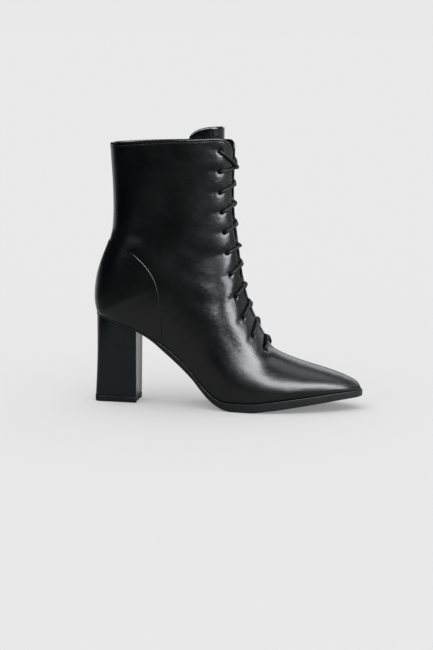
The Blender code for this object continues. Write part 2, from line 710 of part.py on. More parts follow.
def make_tongue(material):
    """Curved sheet behind the facings, sunk at its middle to leave room for the lace.

    Its top leans back from the collar and rises above it in a rounded crest.
    """
    columns = np.linspace(-1, 1, 13)
    crest_rows = np.array([1.0, 0.66, 0.33])
    tail = THROAT_LENGTH + TONGUE_TAIL
    drops = np.concatenate([np.zeros(3), np.linspace(0, THROAT_LENGTH, 16), [tail]])
    rise = np.concatenate([crest_rows, np.zeros(len(drops) - len(crest_rows))])
    width = TONGUE_FOOT_HALF + (TONGUE_TOP_HALF - TONGUE_FOOT_HALF) * (1 - drops / tail)
    faces_out = []
    for inset in (UPPER_WALL + TONGUE_GAP, UPPER_WALL + TONGUE_GAP + TONGUE_THICKNESS):
        grid = np.empty((len(drops), len(columns), 3))
        for j, drop in enumerate(drops):
            reach = columns * width[j]
            sink = LACE_ROOM * np.exp(-(reach / LACE_ROOM_HALF) ** 4)
            sink *= np.clip((tail - drop) / TONGUE_TAIL, 0, 1)
            leaned = np.clip(1 - drop / TONGUE_LEAN_DEPTH, 0, 1) + 0.3 * rise[j]
            sink += TONGUE_LEAN * leaned * np.exp(-(reach / (2 * LACE_ROOM_HALF)) ** 4)
            grid[j] = facing_points(np.full(len(reach), drop), reach, -(inset + sink))[0]
            crest = TONGUE_RISE * np.sqrt(1 - np.abs(columns) ** 3)
            grid[j, :, 2] += rise[j] * crest + (rise[j] > 0) * TONGUE_CREST_STEP
        faces_out.append(grid)
    front, back = faces_out
    rows = np.concatenate([front, back[:, ::-1]], axis=1)
    return rings("tongue", rows[:, ::-1], material)


def smooth_path(points, count):
    """Curve through hand-placed points, each coordinate on its own."""
    order = np.arange(len(points))
    at = np.linspace(0, len(points) - 1, count)
    return np.stack([curve(order, points[:, axis], at) for axis in range(3)], axis=-1)


def strand(low_drop, high_drop, side, height, to_eyelet):
    """One lace run from beside its eyelet over the facing and across the gap to the other side."""
    radius = LACE_DIAMETER / 2
    over = radius + FIT + 0.1
    start = eyelet_reach(low_drop) - EYELET_RADIUS - FIT
    middle = (low_drop + high_drop) / 2
    span = low_drop - high_drop
    edge = half_gap(middle) + 0.5
    near = low_drop - span * 0.26
    if to_eyelet:
        end = eyelet_reach(high_drop) - EYELET_RADIUS - FIT
        far = high_drop + span * 0.26
        drop = [low_drop, near, middle, far, high_drop]
        reach = [-start, -edge, 0.0, edge, end]
        lift = [over, over + 0.3, height, over + 0.3, over]
    else:
        drop = [low_drop, near, middle, middle - span * 0.16]
        reach = [-start, -edge, 0.0, half_gap(middle) - radius - 1.0]
        lift = [over, over + 0.3, height, height - 1.7]
    place, _ = facing_points(drop, np.array(reach) * -side, lift)
    return smooth_path(place, 8)


def make_crossing(number, material):
    """Two strands that cross in front of the tongue, joined where they touch."""
    drops = eyelet_drops()
    high_drop, low_drop = drops[number - 1], drops[number]
    radius = LACE_DIAMETER / 2
    top = number == 1
    heights = (1.5, 0.1) if number % 2 else (0.1, 1.5)
    tubes = []
    for side, height, name in ((-1, heights[0], ""), (1, heights[1], "_other")):
        path = strand(low_drop, high_drop, side, height, top)
        points = tube_rings(path, radius, 6)
        tubes.append(rings(f"lace_cross_{number:02d}{name}", points, material))
    combine(tubes[0], helper(tubes[1]), "UNION")
    return tubes[0]


def make_bar(material):
    """The middle of the lace, which joins the lowest two eyelets under the facings."""
    drop = eyelet_drops()[-1]
    reach = np.linspace(-0.5, 0.5, 5) * eyelet_reach(drop)
    under = -(UPPER_WALL + FIT + LACE_DIAMETER / 2)
    path, _ = facing_points(np.full(5, drop), reach, np.full(5, under))
    return rings("lace_bar", tube_rings(path, LACE_DIAMETER / 2, 6), material)


def stand_on_origin(pieces):
    """Moves the pieces so that the middle of their box on the floor is the origin."""
    bpy.context.view_layer.update()
    graph = bpy.context.evaluated_depsgraph_get()
    corners = []
    for piece in pieces:
        corners += [list(corner) for corner in piece.evaluated_get(graph).bound_box]
    corners = np.array(corners)
    centre = (corners.min(axis=0) + corners.max(axis=0)) / 2
    shift = (-centre[0], -centre[1], 0.0)
    for obj in bpy.data.objects:
        obj.location = shift


def main():
    for obj in list(bpy.data.objects):
        bpy.data.objects.remove(obj)
    leather = finish("smooth black leather", (0.006, 0.007, 0.008), 0.32, 0.3)
    lining = finish("black tongue leather", (0.007, 0.008, 0.009), 0.38, 0.2)
    sole_rubber = finish("dark charcoal sole", (0.017, 0.018, 0.021), 0.6)
    heel_cover = finish("dark slate heel", (0.013, 0.016, 0.018), 0.42)
    lift_rubber = finish("black heel rubber", (0.008, 0.008, 0.009), 0.7)
    insole_lining = finish("dark insole lining", (0.03, 0.024, 0.02), 0.8)
    cord = finish("black waxed cord", (0.012, 0.015, 0.016), 0.65)
    pieces = [
        make_outsole(sole_rubber),
        make_heel_block(heel_cover),
        make_top_piece(lift_rubber),
        make_insole(insole_lining),
        make_upper(leather),
        make_tongue(lining),
        make_bar(cord),
    ]
    for number in range(1, EYELETS):
        pieces.append(make_crossing(number, cord))
    stand_on_origin(pieces)


main()
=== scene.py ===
"""Looks of a right ankle boot in smooth black leather: pointed toe, block heel, lacing over a tongue.

Shapes are worked out in millimetres in the boot's own frame. X starts at the back of the last and runs to
the toe, Y runs to the inner side of the foot, and Z runs up from the floor. The last step of every mesh
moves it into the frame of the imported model, in metres.
"""

import logging
from dataclasses import dataclass, field
from enum import Enum

import bmesh
import bpy
import numpy as np
from bpy.types import ID, Material, Mesh, Node, NodeSocket, NodeTree, Object
from mathutils import Matrix, Vector


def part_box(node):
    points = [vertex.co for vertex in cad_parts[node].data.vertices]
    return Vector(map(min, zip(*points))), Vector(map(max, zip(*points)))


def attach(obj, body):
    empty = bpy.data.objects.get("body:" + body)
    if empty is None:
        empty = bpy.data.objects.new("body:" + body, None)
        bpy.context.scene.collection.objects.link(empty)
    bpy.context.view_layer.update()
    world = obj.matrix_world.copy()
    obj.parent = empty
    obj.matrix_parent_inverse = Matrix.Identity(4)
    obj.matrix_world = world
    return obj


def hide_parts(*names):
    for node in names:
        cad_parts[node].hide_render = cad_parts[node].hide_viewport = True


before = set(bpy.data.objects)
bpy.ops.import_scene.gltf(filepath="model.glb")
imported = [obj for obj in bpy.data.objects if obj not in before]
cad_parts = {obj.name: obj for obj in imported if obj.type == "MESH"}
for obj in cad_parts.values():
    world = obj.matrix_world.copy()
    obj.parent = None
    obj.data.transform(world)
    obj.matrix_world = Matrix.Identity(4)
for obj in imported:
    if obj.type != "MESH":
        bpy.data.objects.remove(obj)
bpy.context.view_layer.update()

Array = np.ndarray
Table = dict[str, Array]
Pair = tuple[float, float]
Triple = tuple[float, float, float]
LOG = logging.getLogger("boot")
METRES = 0.001
BODY = "root"


class Side(Enum):
    """The two sides of the boot, by the sign of Y."""

    OUTER = -1.0
    INNER = 1.0


class Slot(Enum):
    """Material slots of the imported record."""

    LEATHER = "leather"
    TONGUE = "tongue_leather"
    LINING = "lining"
    SOLE = "sole_rubber"
    HEEL = "heel_cover"
    HEEL_RUBBER = "heel_rubber"
    CORD = "cord"


def table(names: str, rows: list[tuple[float, ...]]) -> Table:
    """Columns of a table by name."""
    return dict(zip(names.split(), np.array(rows, float).T))


SOLE_SIDE = table("station rise spring thick", [
    (0.000, 1.000, 0.00, 0.24),
    (0.080, 0.928, 0.00, 0.24),
    (0.155, 0.845, 0.00, 0.25),
    (0.213, 0.749, 0.00, 0.42),
    (0.268, 0.615, 0.00, 0.68),
    (0.311, 0.506, 0.00, 0.80),
    (0.348, 0.407, 0.00, 0.77),
    (0.381, 0.311, 0.00, 0.70),
    (0.409, 0.214, 0.00, 0.69),
    (0.439, 0.122, 0.00, 0.75),
    (0.474, 0.048, 0.00, 0.78),
    (0.505, 0.011, 0.00, 0.90),
    (0.530, 0.000, 0.00, 0.97),
    (0.600, 0.000, 0.00, 1.00),
    (0.660, 0.000, 0.14, 0.99),
    (0.710, 0.000, 0.28, 0.99),
    (0.777, 0.000, 0.48, 0.95),
    (0.860, 0.000, 0.72, 0.90),
    (0.940, 0.000, 0.92, 0.82),
    (1.000, 0.000, 1.00, 0.74),
])

SOLE_PLAN = table("station swing seat ball", [
    (0.00, 0.000, 1.01, 0.000),
    (0.16, -0.020, 0.98, 0.000),
    (0.24, -0.045, 0.87, 0.050),
    (0.34, -0.090, 0.60, 0.225),
    (0.40, -0.115, 0.38, 0.430),
    (0.48, -0.120, 0.14, 0.720),
    (0.56, -0.095, 0.00, 0.940),
    (0.63, -0.055, 0.00, 1.000),
    (0.69, -0.015, 0.00, 0.995),
    (0.77, 0.025, 0.00, 0.900),
    (0.84, 0.055, 0.00, 0.760),
    (0.89, 0.075, 0.00, 0.625),
    (0.94, 0.095, 0.00, 0.450),
    (0.97, 0.107, 0.00, 0.315),
    (1.00, 0.118, 0.00, 0.150),
])

BACK_LINE = table("height set", [
    (0.000, 0.000),
    (0.036, -0.170),
    (0.080, -0.200),
    (0.144, -0.170),
    (0.216, -0.090),
    (0.288, 0.150),
    (0.361, 0.460),
    (0.433, 0.790),
    (0.507, 0.940),
    (0.610, 1.000),
    (0.751, 0.970),
    (0.858, 0.875),
    (1.000, 0.778),
])

FRONT_LINE = table("height along", [
    (0.000, 1.000),
    (0.010, 0.995),
    (0.028, 0.984),
    (0.050, 0.945),
    (0.076, 0.876),
    (0.106, 0.778),
    (0.140, 0.694),
    (0.160, 0.662),
    (0.197, 0.642),
    (0.238, 0.620),
    (0.296, 0.594),
    (0.381, 0.565),
    (0.479, 0.547),
    (0.599, 0.534),
    (0.719, 0.518),
    (0.800, 0.515),
    (1.000, 0.518),
])

SECTIONS = table("under over ball shaft widest tuck crown lean", [
    (0.0000, 0.0000, 0.000, 0.000, 0.20, 2.00, 2.00, 0.118),
    (0.0052, 0.0103, 0.110, 0.000, 0.20, 2.00, 2.00, 0.118),
    (0.0167, 0.0275, 0.222, 0.000, 0.20, 2.00, 2.00, 0.116),
    (0.0426, 0.0442, 0.405, 0.000, 0.20, 2.00, 2.00, 0.112),
    (0.0863, 0.0626, 0.580, 0.000, 0.20, 2.00, 2.00, 0.107),
    (0.1500, 0.0837, 0.770, 0.000, 0.20, 2.00, 1.95, 0.100),
    (0.2216, 0.1064, 0.920, 0.000, 0.20, 2.00, 1.90, 0.095),
    (0.2852, 0.1296, 0.995, 0.000, 0.21, 2.00, 1.85, 0.090),
    (0.3449, 0.1549, 1.010, 0.000, 0.22, 2.00, 1.82, 0.085),
    (0.4045, 0.1870, 0.985, 0.000, 0.24, 2.00, 1.80, 0.078),
    (0.4602, 0.2300, 0.820, 0.170, 0.27, 2.00, 1.80, 0.070),
    (0.5159, 0.2814, 0.540, 0.460, 0.31, 2.00, 1.82, 0.060),
    (0.5716, 0.3372, 0.270, 0.755, 0.36, 2.00, 1.86, 0.050),
    (0.6352, 0.3930, 0.070, 0.975, 0.41, 2.00, 1.92, 0.040),
    (0.6989, 0.4359, 0.015, 1.045, 0.44, 2.00, 1.96, 0.028),
    (0.7625, 0.4745, 0.000, 1.060, 0.45, 1.90, 2.00, 0.020),
    (0.8341, 0.5109, 0.000, 1.066, 0.46, 1.70, 2.03, 0.015),
    (0.9057, 0.5431, 0.000, 1.070, 0.46, 1.35, 2.06, 0.010),
    (0.9614, 0.5667, 0.000, 1.070, 0.46, 1.00, 2.10, 0.005),
    (0.9893, 0.5817, 0.000, 1.068, 0.46, 0.82, 2.10, 0.000),
    (1.0000, 0.5946, 0.000, 1.065, 0.46, 0.76, 2.12, 0.000),
    (1.0700, 0.6203, 0.000, 1.060, 0.46, 0.76, 2.15, 0.000),
    (1.1600, 0.6550, 0.000, 1.050, 0.47, 0.78, 2.20, 0.000),
    (1.3200, 0.7210, 0.000, 1.022, 0.48, 0.84, 2.20, 0.000),
    (1.4600, 0.7790, 0.000, 1.000, 0.48, 0.88, 2.20, 0.000),
    (1.6000, 0.8380, 0.000, 0.985, 0.49, 0.92, 2.20, 0.000),
    (2.0000, 1.0000, 0.000, 1.000, 0.50, 0.92, 2.20, 0.000),
])
# Rows from this one up close round the back of the shaft. The ones before it stand on the sole.
CLOSED_ROW = 20
TOP_ROW = len(SECTIONS["under"]) - 1

COUNTER_SEAM = table("along height", [
    (0.20, 1.000),
    (0.36, 0.950),
    (0.58, 0.860),
    (0.82, 0.645),
    (0.92, 0.475),
    (0.965, 0.320),
    (0.985, 0.140),
    (0.995, -0.050),
    (1.00, -0.280),
])

THROAT = table("climb gap hole", [
    (-0.012, 0.05, 0.62),
    (0.000, 0.14, 0.64),
    (0.060, 0.30, 0.74),
    (0.120, 0.47, 0.88),
    (0.180, 0.62, 0.92),
    (0.400, 0.92, 0.885),
    (0.600, 1.00, 0.85),
    (0.800, 0.90, 0.94),
    (1.000, 0.76, 1.00),
])

# Soft troughs (depth over 0) and ridges (under 0) of the leather in side view. side: -1 outer, 1 inner,
# 0 both. x0 z0 to x1 z1 is the line of the fold, width its spread and depth its depth, all in millimetres.
CREASES = table("side x0 z0 x1 z1 width depth", [
    (-1, 88, 170, 120, 166, 6.0, 0.16),
    (-1, 92, 150, 121, 141, 6.0, 0.22),
    (-1, 90, 128, 120, 116, 6.0, 0.25),
    (0, 40, 152, 70, 132, 7.0, -0.25),
    (-1, 14, 166, 44, 160, 5.0, 0.25),
    (1, 16, 162, 52, 152, 5.0, 0.35),
    (1, 80, 170, 124, 178, 5.0, 0.30),
    (0, 96, 104, 136, 96, 7.0, 0.35),
    (0, 104, 88, 146, 74, 7.0, -0.25),
    (-1, 116, 56, 148, 42, 7.0, 0.30),
    (1, 116, 56, 156, 38, 6.0, 0.40),
    (0, 150, 40, 172, 26, 6.0, -0.20),
    (-1, 72, 98, 94, 74, 9.0, 0.30),
    (1, 74, 96, 96, 70, 8.0, 0.35),
])


def curve(xs: Array, ys: Array, at: Array) -> Array:
    """Smooth curve through a table's rows, which doesn't overshoot: a cubic whose slope is the harmonic
    mean of its neighbours' slopes, and nothing where they turn.

    Args:
        xs: places of the rows, ascending.
        ys: values of the rows.
        at: places to read.

    Returns:
        The values there.
    """
    xs, ys, at = (np.asarray(values, float) for values in (xs, ys, at))
    step = np.diff(xs)
    slope = np.diff(ys) / step
    turn = slope[:-1] * slope[1:] > 0
    early = 2 * step[1:] + step[:-1]
    late = step[1:] + 2 * step[:-1]
    before = np.where(turn, slope[:-1], 1.0)
    after = np.where(turn, slope[1:], 1.0)
    middle = np.where(turn, (early + late) / (early / before + late / after), 0.0)
    tangent = np.concatenate([slope[:1], middle, slope[-1:]])
    row = np.clip(np.searchsorted(xs, at, side="right") - 1, 0, len(step) - 1)
    t = np.clip((at - xs[row]) / step[row], 0.0, 1.0)
    from_row = (1 + 2 * t) * (1 - t) ** 2 * ys[row] + t * (1 - t) ** 2 * step[row] * tangent[row]
    to_row = t * t * (3 - 2 * t) * ys[row + 1] + t * t * (t - 1) * step[row] * tangent[row + 1]
    return from_row + to_row


def unit(vectors: Array) -> Array:
    """Vectors scaled to length 1."""
    return vectors / np.maximum(np.linalg.norm(vectors, axis=-1, keepdims=True), 1e-9)


def smooth_step(low: float, high: float, x: Array) -> Array:
    """0 below low, 1 above high and a smooth S between them."""
    t = np.clip((x - low) / (high - low), 0.0, 1.0)
    return t * t * (3 - 2 * t)


def bell(x: Array, width: float | Array) -> Array:
    """Gaussian bell: e to the minus square of x over width."""
    return np.exp(-(x / width) ** 2)


def rowwise(x: Array, xp: Array, fp: Array) -> Array:
    """Linear interpolation on each row of a grid.

    Args:
        x: places to read, one row for each row of xp.
        xp: ascending places of the known values.
        fp: the known values.

    Returns:
        Values at x.
    """
    index = np.clip((xp[:, None, :] <= x[:, :, None]).sum(axis=-1) - 1, 0, xp.shape[1] - 2)
    x0, x1 = np.take_along_axis(xp, index, 1), np.take_along_axis(xp, index + 1, 1)
    f0, f1 = np.take_along_axis(fp, index, 1), np.take_along_axis(fp, index + 1, 1)
    return f0 + (f1 - f0) * (x - x0) / np.maximum(x1 - x0, 1e-9)


def run_along(path: Array) -> Array:
    """Length of a path, or of each row of a grid, up to each point: the sum of its steps."""
    steps = np.linalg.norm(np.diff(path, axis=-2), axis=-1)
    return np.concatenate([np.zeros(steps.shape[:-1] + (1,)), np.cumsum(steps, axis=-1)], axis=-1)


@dataclass(frozen=True)
class Last:
    """The last and the sole's lines, in millimetres. Section planes fan out from toe to collar."""

    length: float = 252.2
    seat_height: float = 83.6
    shaft_height: float = 160.0
    front_rise: float = 4.0
    back_hollow: float = 14.4
    toe_spring: float = 12.0
    ball_width: float = 80.0
    seat_width: float = 48.0
    shaft_width: float = 62.0
    sole_edge: float = 8.3
    heel_round: float = 24.0
    toe_round: float = 5.0
    foot_ledge: float = 1.0
    toe_ledge: float = 1.0
    heel_ledge: float = 1.5
    fit: float = 0.3
    swing_fade: float = 8.0
    lean_power: float = 1.5

    def read(self, lines: Table, name: str, x: Array) -> Array:
        """Value of one of the sole's lines, by share of the length."""
        return curve(lines["station"], lines[name], np.asarray(x, float) / self.length)

    def sole_bottom(self, x: Array) -> Array:
        """Height of the sole's underside: rise of the heel plus spring of the toe."""
        spring = self.read(SOLE_SIDE, "spring", x) * self.toe_spring
        return self.read(SOLE_SIDE, "rise", x) * self.seat_height + spring

    def sole_top(self, x: Array) -> Array:
        """Height of the sole's upper face: its underside plus its thickness there."""
        return self.sole_bottom(x) + self.read(SOLE_SIDE, "thick", x) * self.sole_edge

    def sole_middle(self, x: Array) -> Array:
        """Sideways place of the sole's middle line."""
        return self.read(SOLE_PLAN, "swing", x) * self.ball_width / 2

    def sole_half(self, x: Array, back: float, tip: float, inset: float = 0.0) -> Array:
        """Half width of a plan like the sole's, with its two ends rounded as quarter ellipses.

        Args:
            x: places along the boot.
            back: where the plan starts.
            tip: where it ends.
            inset: how much narrower it is on each side.

        Returns:
            Half widths.
        """
        half = (self.read(SOLE_PLAN, "seat", x) * self.seat_width
                + self.read(SOLE_PLAN, "ball", x) * self.ball_width) / 2
        heel = np.clip(1 - (x - back) / self.heel_round, 0, 1)
        toe = np.clip(1 - (tip - x) / self.toe_round, 0, 1)
        return (half - inset) * np.sqrt(1 - heel ** 2) * np.sqrt(1 - toe ** 2)

    @property
    def upper_tip(self) -> float:
        """Place of the upper's toe."""
        return self.length - self.toe_ledge

    @property
    def seat_top(self) -> float:
        """Height at which the back of the upper starts."""
        return float(self.sole_top(0.0)) + self.fit

    @property
    def toe_base(self) -> float:
        """Height at which the toe of the upper starts."""
        return float(self.sole_top(self.upper_tip)) + self.fit

    def front_point(self, height: Array) -> tuple[Array, Array]:
        """Place on the front line, from the toe up to the collar.

        Args:
            height: share of the height from the toe's base to the collar.

        Returns:
            X and Z.
        """
        along = curve(FRONT_LINE["height"], FRONT_LINE["along"], height) * self.upper_tip
        collar = self.seat_top + self.shaft_height + self.front_rise
        return along, self.toe_base + height * (collar - self.toe_base)

    def under_point(self, under: Array) -> tuple[Array, Array]:
        """Place on the line back along the sole and then up the back of the shaft.

        Args:
            under: 0 to 1 from the toe to the heel, 1 to 2 from the heel to the collar.

        Returns:
            X and Z.
        """
        foot_x = self.upper_tip + (self.fit - self.upper_tip) * np.clip(under, 0, 1)
        climb = np.clip(under - 1, 0, 1)
        back_x = self.fit + curve(BACK_LINE["height"], BACK_LINE["set"], climb) * self.back_hollow
        foot = under <= 1
        z = np.where(foot, self.sole_top(foot_x) + self.fit, self.seat_top + climb * self.shaft_height)
        return np.where(foot, foot_x, back_x), z

    def section_points(self, rows: Array, angles: Array) -> Array:
        """Points of the upper's outer face.

        From angle 2 to 1 a side swells from the sole to its widest place as a power of a cosine. From 1
        to 0 it closes over the top as a superellipse.

        Args:
            rows: places in SECTIONS.
            angles: -2 to 2, from the outer foot edge over the top to the inner one.

        Returns:
            Grid of points, rows by angles.
        """
        order = np.arange(TOP_ROW + 1)
        read = {name: curve(order, values, rows)[:, None] for name, values in SECTIONS.items()}
        under_x, under_z = self.under_point(read["under"])
        over_x, over_z = self.front_point(read["over"])
        standing = read["under"] < 1
        foot = np.where(standing, self.sole_half(under_x, self.fit, self.upper_tip, self.foot_ledge), 0.0)
        fade = np.clip((1 - read["under"]) * self.swing_fade, 0, 1)
        middle = np.where(standing, self.sole_middle(under_x), 0.0) * fade
        half = (read["ball"] * self.ball_width + read["shaft"] * self.shaft_width) / 2
        side, turn = np.sign(angles)[None], np.abs(angles)[None]
        lift = np.pi / 2 * np.clip(turn - 1, 0, 1)
        close = np.pi / 2 * np.clip(1 - turn, 0, 1)
        low_share = read["widest"] * (1 - np.sin(lift) ** np.minimum(read["tuck"], 1.0))
        low_half = foot + (half - foot) * np.clip(np.cos(lift), 0, 1) ** read["tuck"]
        power = 2 / read["crown"]
        high_share = read["widest"] + (1 - read["widest"]) * np.sin(close) ** power
        high_half = half * np.clip(np.cos(close), 0, 1) ** power
        share = np.where(turn >= 1, low_share, high_share)
        width = np.where(turn >= 1, low_half, high_half)
        top = read["lean"] * self.ball_width / 2
        y = middle + (top - middle) * share ** self.lean_power + side * width
        x = under_x + (over_x - under_x) * share
        z = under_z + (over_z - under_z) * share
        return np.stack([x, y, z], axis=-1)


@dataclass
class SmoothForm:
    """The upper's outer face as one bicubic B-spline sheet over a net of section points."""

    last: Last
    row_step: float = 0.25
    angle_step: float = 0.0625
    collar_rise: float = 3.1
    lift_start: Pair = (-1.9, -0.95)
    lift_end: Pair = (-0.16, -0.5)
    ease_rounds: int = 14
    ease_row: float = 19.5
    ease_spread: float = 3.0
    ease_edge: float = 1.86
    line_steps: int = 3000
    half_round_steps: int = 120
    find_rows: tuple[float, int] = (8.0, 190)
    find_angles: tuple[float, float, int] = (-2.0, -0.3, 90)
    find_steps: int = 8
    find_leap: Pair = (0.5, 0.1)
    net: Array = field(init=False)
    dense_rows: Array = field(init=False)
    dense_drop: Array = field(init=False)

    def __post_init__(self) -> None:
        """Makes the net, eases the heel's lower rows and measures the front line."""
        rows = np.arange(0, TOP_ROW + self.row_step / 2, self.row_step)
        angles = np.arange(-2, 2 + self.angle_step / 2, self.angle_step)
        net = self.last.section_points(rows, angles)
        net[..., 2] += self.collar_lift(rows[:, None], angles[None])
        edge = smooth_step(2.0, self.ease_edge, np.abs(angles))
        ease = (bell(rows - self.ease_row, self.ease_spread)[:, None] * edge)[..., None]
        for _ in range(self.ease_rounds):
            eased = net.copy()
            eased[1:-1] = (net[:-2] + 2 * net[1:-1] + net[2:]) / 4
            net = net + (eased - net) * ease
        closed = rows >= CLOSED_ROW
        first = 2 * net[:, :1] - net[:, 1:2]
        last = 2 * net[:, -1:] - net[:, -2:-1]
        first[closed] = net[closed, -2:-1]
        last[closed] = net[closed, 1:2]
        net = np.concatenate([first, net, last], axis=1)
        self.net = np.concatenate([2 * net[:1] - net[1:2], net, 2 * net[-1:] - net[-2:-1]])
        self.dense_rows = np.linspace(TOP_ROW, 0, self.line_steps)
        self.dense_drop = run_along(self.at(self.dense_rows, np.zeros(self.line_steps)))

    def collar_lift(self, rows: Array, angles: Array) -> Array:
        """Extra height of the collar's edge on the outer side, fading out over one row and to both ends."""
        along = smooth_step(*self.lift_start, angles) * smooth_step(*self.lift_end, angles)
        return self.collar_rise * smooth_step(TOP_ROW - 1, TOP_ROW, rows) * along

    def at(self, rows: Array, angles: Array) -> Array:
        """Points of the face: the net weighted by the cubic B-spline's four pieces each way.

        Args:
            rows: places in SECTIONS.
            angles: angles of the section, of the same shape or one that spreads to it.

        Returns:
            Points.
        """
        rows, angles = np.broadcast_arrays(np.asarray(rows, float), np.asarray(angles, float))
        place = np.zeros(rows.shape + (3,))
        spots = []
        for value, step, count in (
            (rows, self.row_step, self.net.shape[0]),
            (angles + 2, self.angle_step, self.net.shape[1]),
        ):
            index = np.clip(np.floor(value / step).astype(int), 0, count - 4)
            t = value / step - index
            second, third = 3 * t ** 3 - 6 * t ** 2 + 4, -3 * t ** 3 + 3 * t ** 2 + 3 * t + 1
            spots.append((index, [weight / 6 for weight in ((1 - t) ** 3, second, third, t ** 3)]))
        (i, row_weights), (j, angle_weights) = spots
        for a, row_weight in enumerate(row_weights):
            for b, angle_weight in enumerate(angle_weights):
                place += self.net[i + a, j + b] * (row_weight * angle_weight)[..., None]
        return place

    def normal(self, rows: Array, angles: Array, nudge: float = 0.02) -> Array:
        """Outward unit normals: the cross product of the steps across and along the face.

        Args:
            rows: places in SECTIONS.
            angles: angles of the section.
            nudge: half a step, in rows and angles.

        Returns:
            Unit vectors.
        """
        rows, angles = np.broadcast_arrays(np.asarray(rows, float), np.asarray(angles, float))
        ahead, behind = angles + nudge, angles - nudge
        closed = rows >= CLOSED_ROW
        ahead = np.where(ahead > 2, np.where(closed, ahead - 4, 2.0), ahead)
        behind = np.where(behind < -2, np.where(closed, behind + 4, -2.0), behind)
        across = self.at(rows, ahead) - self.at(rows, behind)
        below, above = np.maximum(rows - nudge, 0), np.minimum(rows + nudge, TOP_ROW)
        normal = np.cross(across, self.at(above, angles) - self.at(below, angles))
        normal[np.linalg.norm(normal, axis=-1) < 1e-7] = (1.0, 0.0, 0.0)
        return unit(normal)

    def face(self, rows: Array, angles: Array) -> tuple[Array, Array]:
        """Points and normals of a grid of angles, with one row place for each of its rows."""
        return self.at(rows[:, None], angles), self.normal(rows[:, None], angles)

    def row_at(self, drop: Array) -> Array:
        """Row whose top lies this far down the front line from the collar."""
        return np.interp(drop, self.dense_drop, self.dense_rows)

    def angles_at(self, rows: Array, reach: Array) -> tuple[Array, Array]:
        """Angles at distances round the sections from the front line, inner side positive.

        Args:
            rows: one row place for each row of reach.
            reach: grid of distances.

        Returns:
            The angles, and the distances of the two foot edges.
        """
        angles = np.linspace(-2, 2, 2 * self.half_round_steps + 1)
        run = run_along(self.at(rows[:, None], angles[None]))
        run -= run[:, [self.half_round_steps]]
        return rowwise(reach, run, np.broadcast_to(angles, run.shape)), run[:, [0, -1]]

    def side_length(self, rows: Array, side: Side) -> Array:
        """Distance round each section from the front line to a side's foot edge."""
        ends = self.angles_at(rows, np.zeros((len(rows), 1)))[1]
        return np.abs(ends[:, 0] if side is Side.OUTER else ends[:, 1])

    def spot(self, drop: Array, reach: Array, lift: Array | float = 0.0) -> tuple[Array, Array]:
        """Places by distance down from the collar, distance from the front line and height off the face.

        Args:
            drop: distances down the front line from the collar.
            reach: distances round the section, inner side positive.
            lift: heights off the face, outwards.

        Returns:
            Points and normals.
        """
        drop, reach, lift = np.broadcast_arrays(*(np.asarray(v, float) for v in (drop, reach, lift)))
        shape = drop.shape
        rows = self.row_at(drop.ravel())
        angles = self.angles_at(rows, reach.ravel()[:, None])[0][:, 0]
        normal = self.normal(rows, angles)
        points = self.at(rows, angles) + normal * lift.ravel()[:, None]
        return points.reshape(shape + (3,)), normal.reshape(shape + (3,))

    def find(self, x: Array, z: Array, nudge: float = 0.01) -> tuple[Array, Array]:
        """Places on the outer side by their side view, with Newton steps from the nearest of a coarse grid.

        Args:
            x: places along the boot.
            z: heights.
            nudge: step that measures the slopes, in rows and angles.

        Returns:
            Rows and angles.
        """
        (low, count), (row_leap, angle_leap) = self.find_rows, self.find_leap
        rows, angles = np.linspace(low, TOP_ROW, count), np.linspace(*self.find_angles)
        grid = self.at(rows[:, None], angles[None])[..., [0, 2]].reshape(-1, 2)
        goal = np.stack([x, z], axis=-1)
        nearest = ((grid[None] - goal[:, None]) ** 2).sum(axis=-1).argmin(axis=1)
        row, angle = rows[nearest // len(angles)], angles[nearest % len(angles)]
        for _ in range(self.find_steps):
            here = self.at(row, angle)[:, [0, 2]]
            by_row = (self.at(row + nudge, angle)[:, [0, 2]] - here) / nudge
            by_angle = (self.at(row, angle + nudge)[:, [0, 2]] - here) / nudge
            off = goal - here
            scale = by_row[:, 0] * by_angle[:, 1] - by_row[:, 1] * by_angle[:, 0]
            scale = np.where(np.abs(scale) < 1e-6, 1e-6, scale)
            step_row = (off[:, 0] * by_angle[:, 1] - off[:, 1] * by_angle[:, 0]) / scale
            step_angle = (by_row[:, 0] * off[:, 1] - by_row[:, 1] * off[:, 0]) / scale
            row = np.clip(row + np.clip(step_row, -row_leap, row_leap), low, TOP_ROW - 0.02)
            angle = np.clip(angle + np.clip(step_angle, -angle_leap, angle_leap), -2, -0.2)
        return row, angle


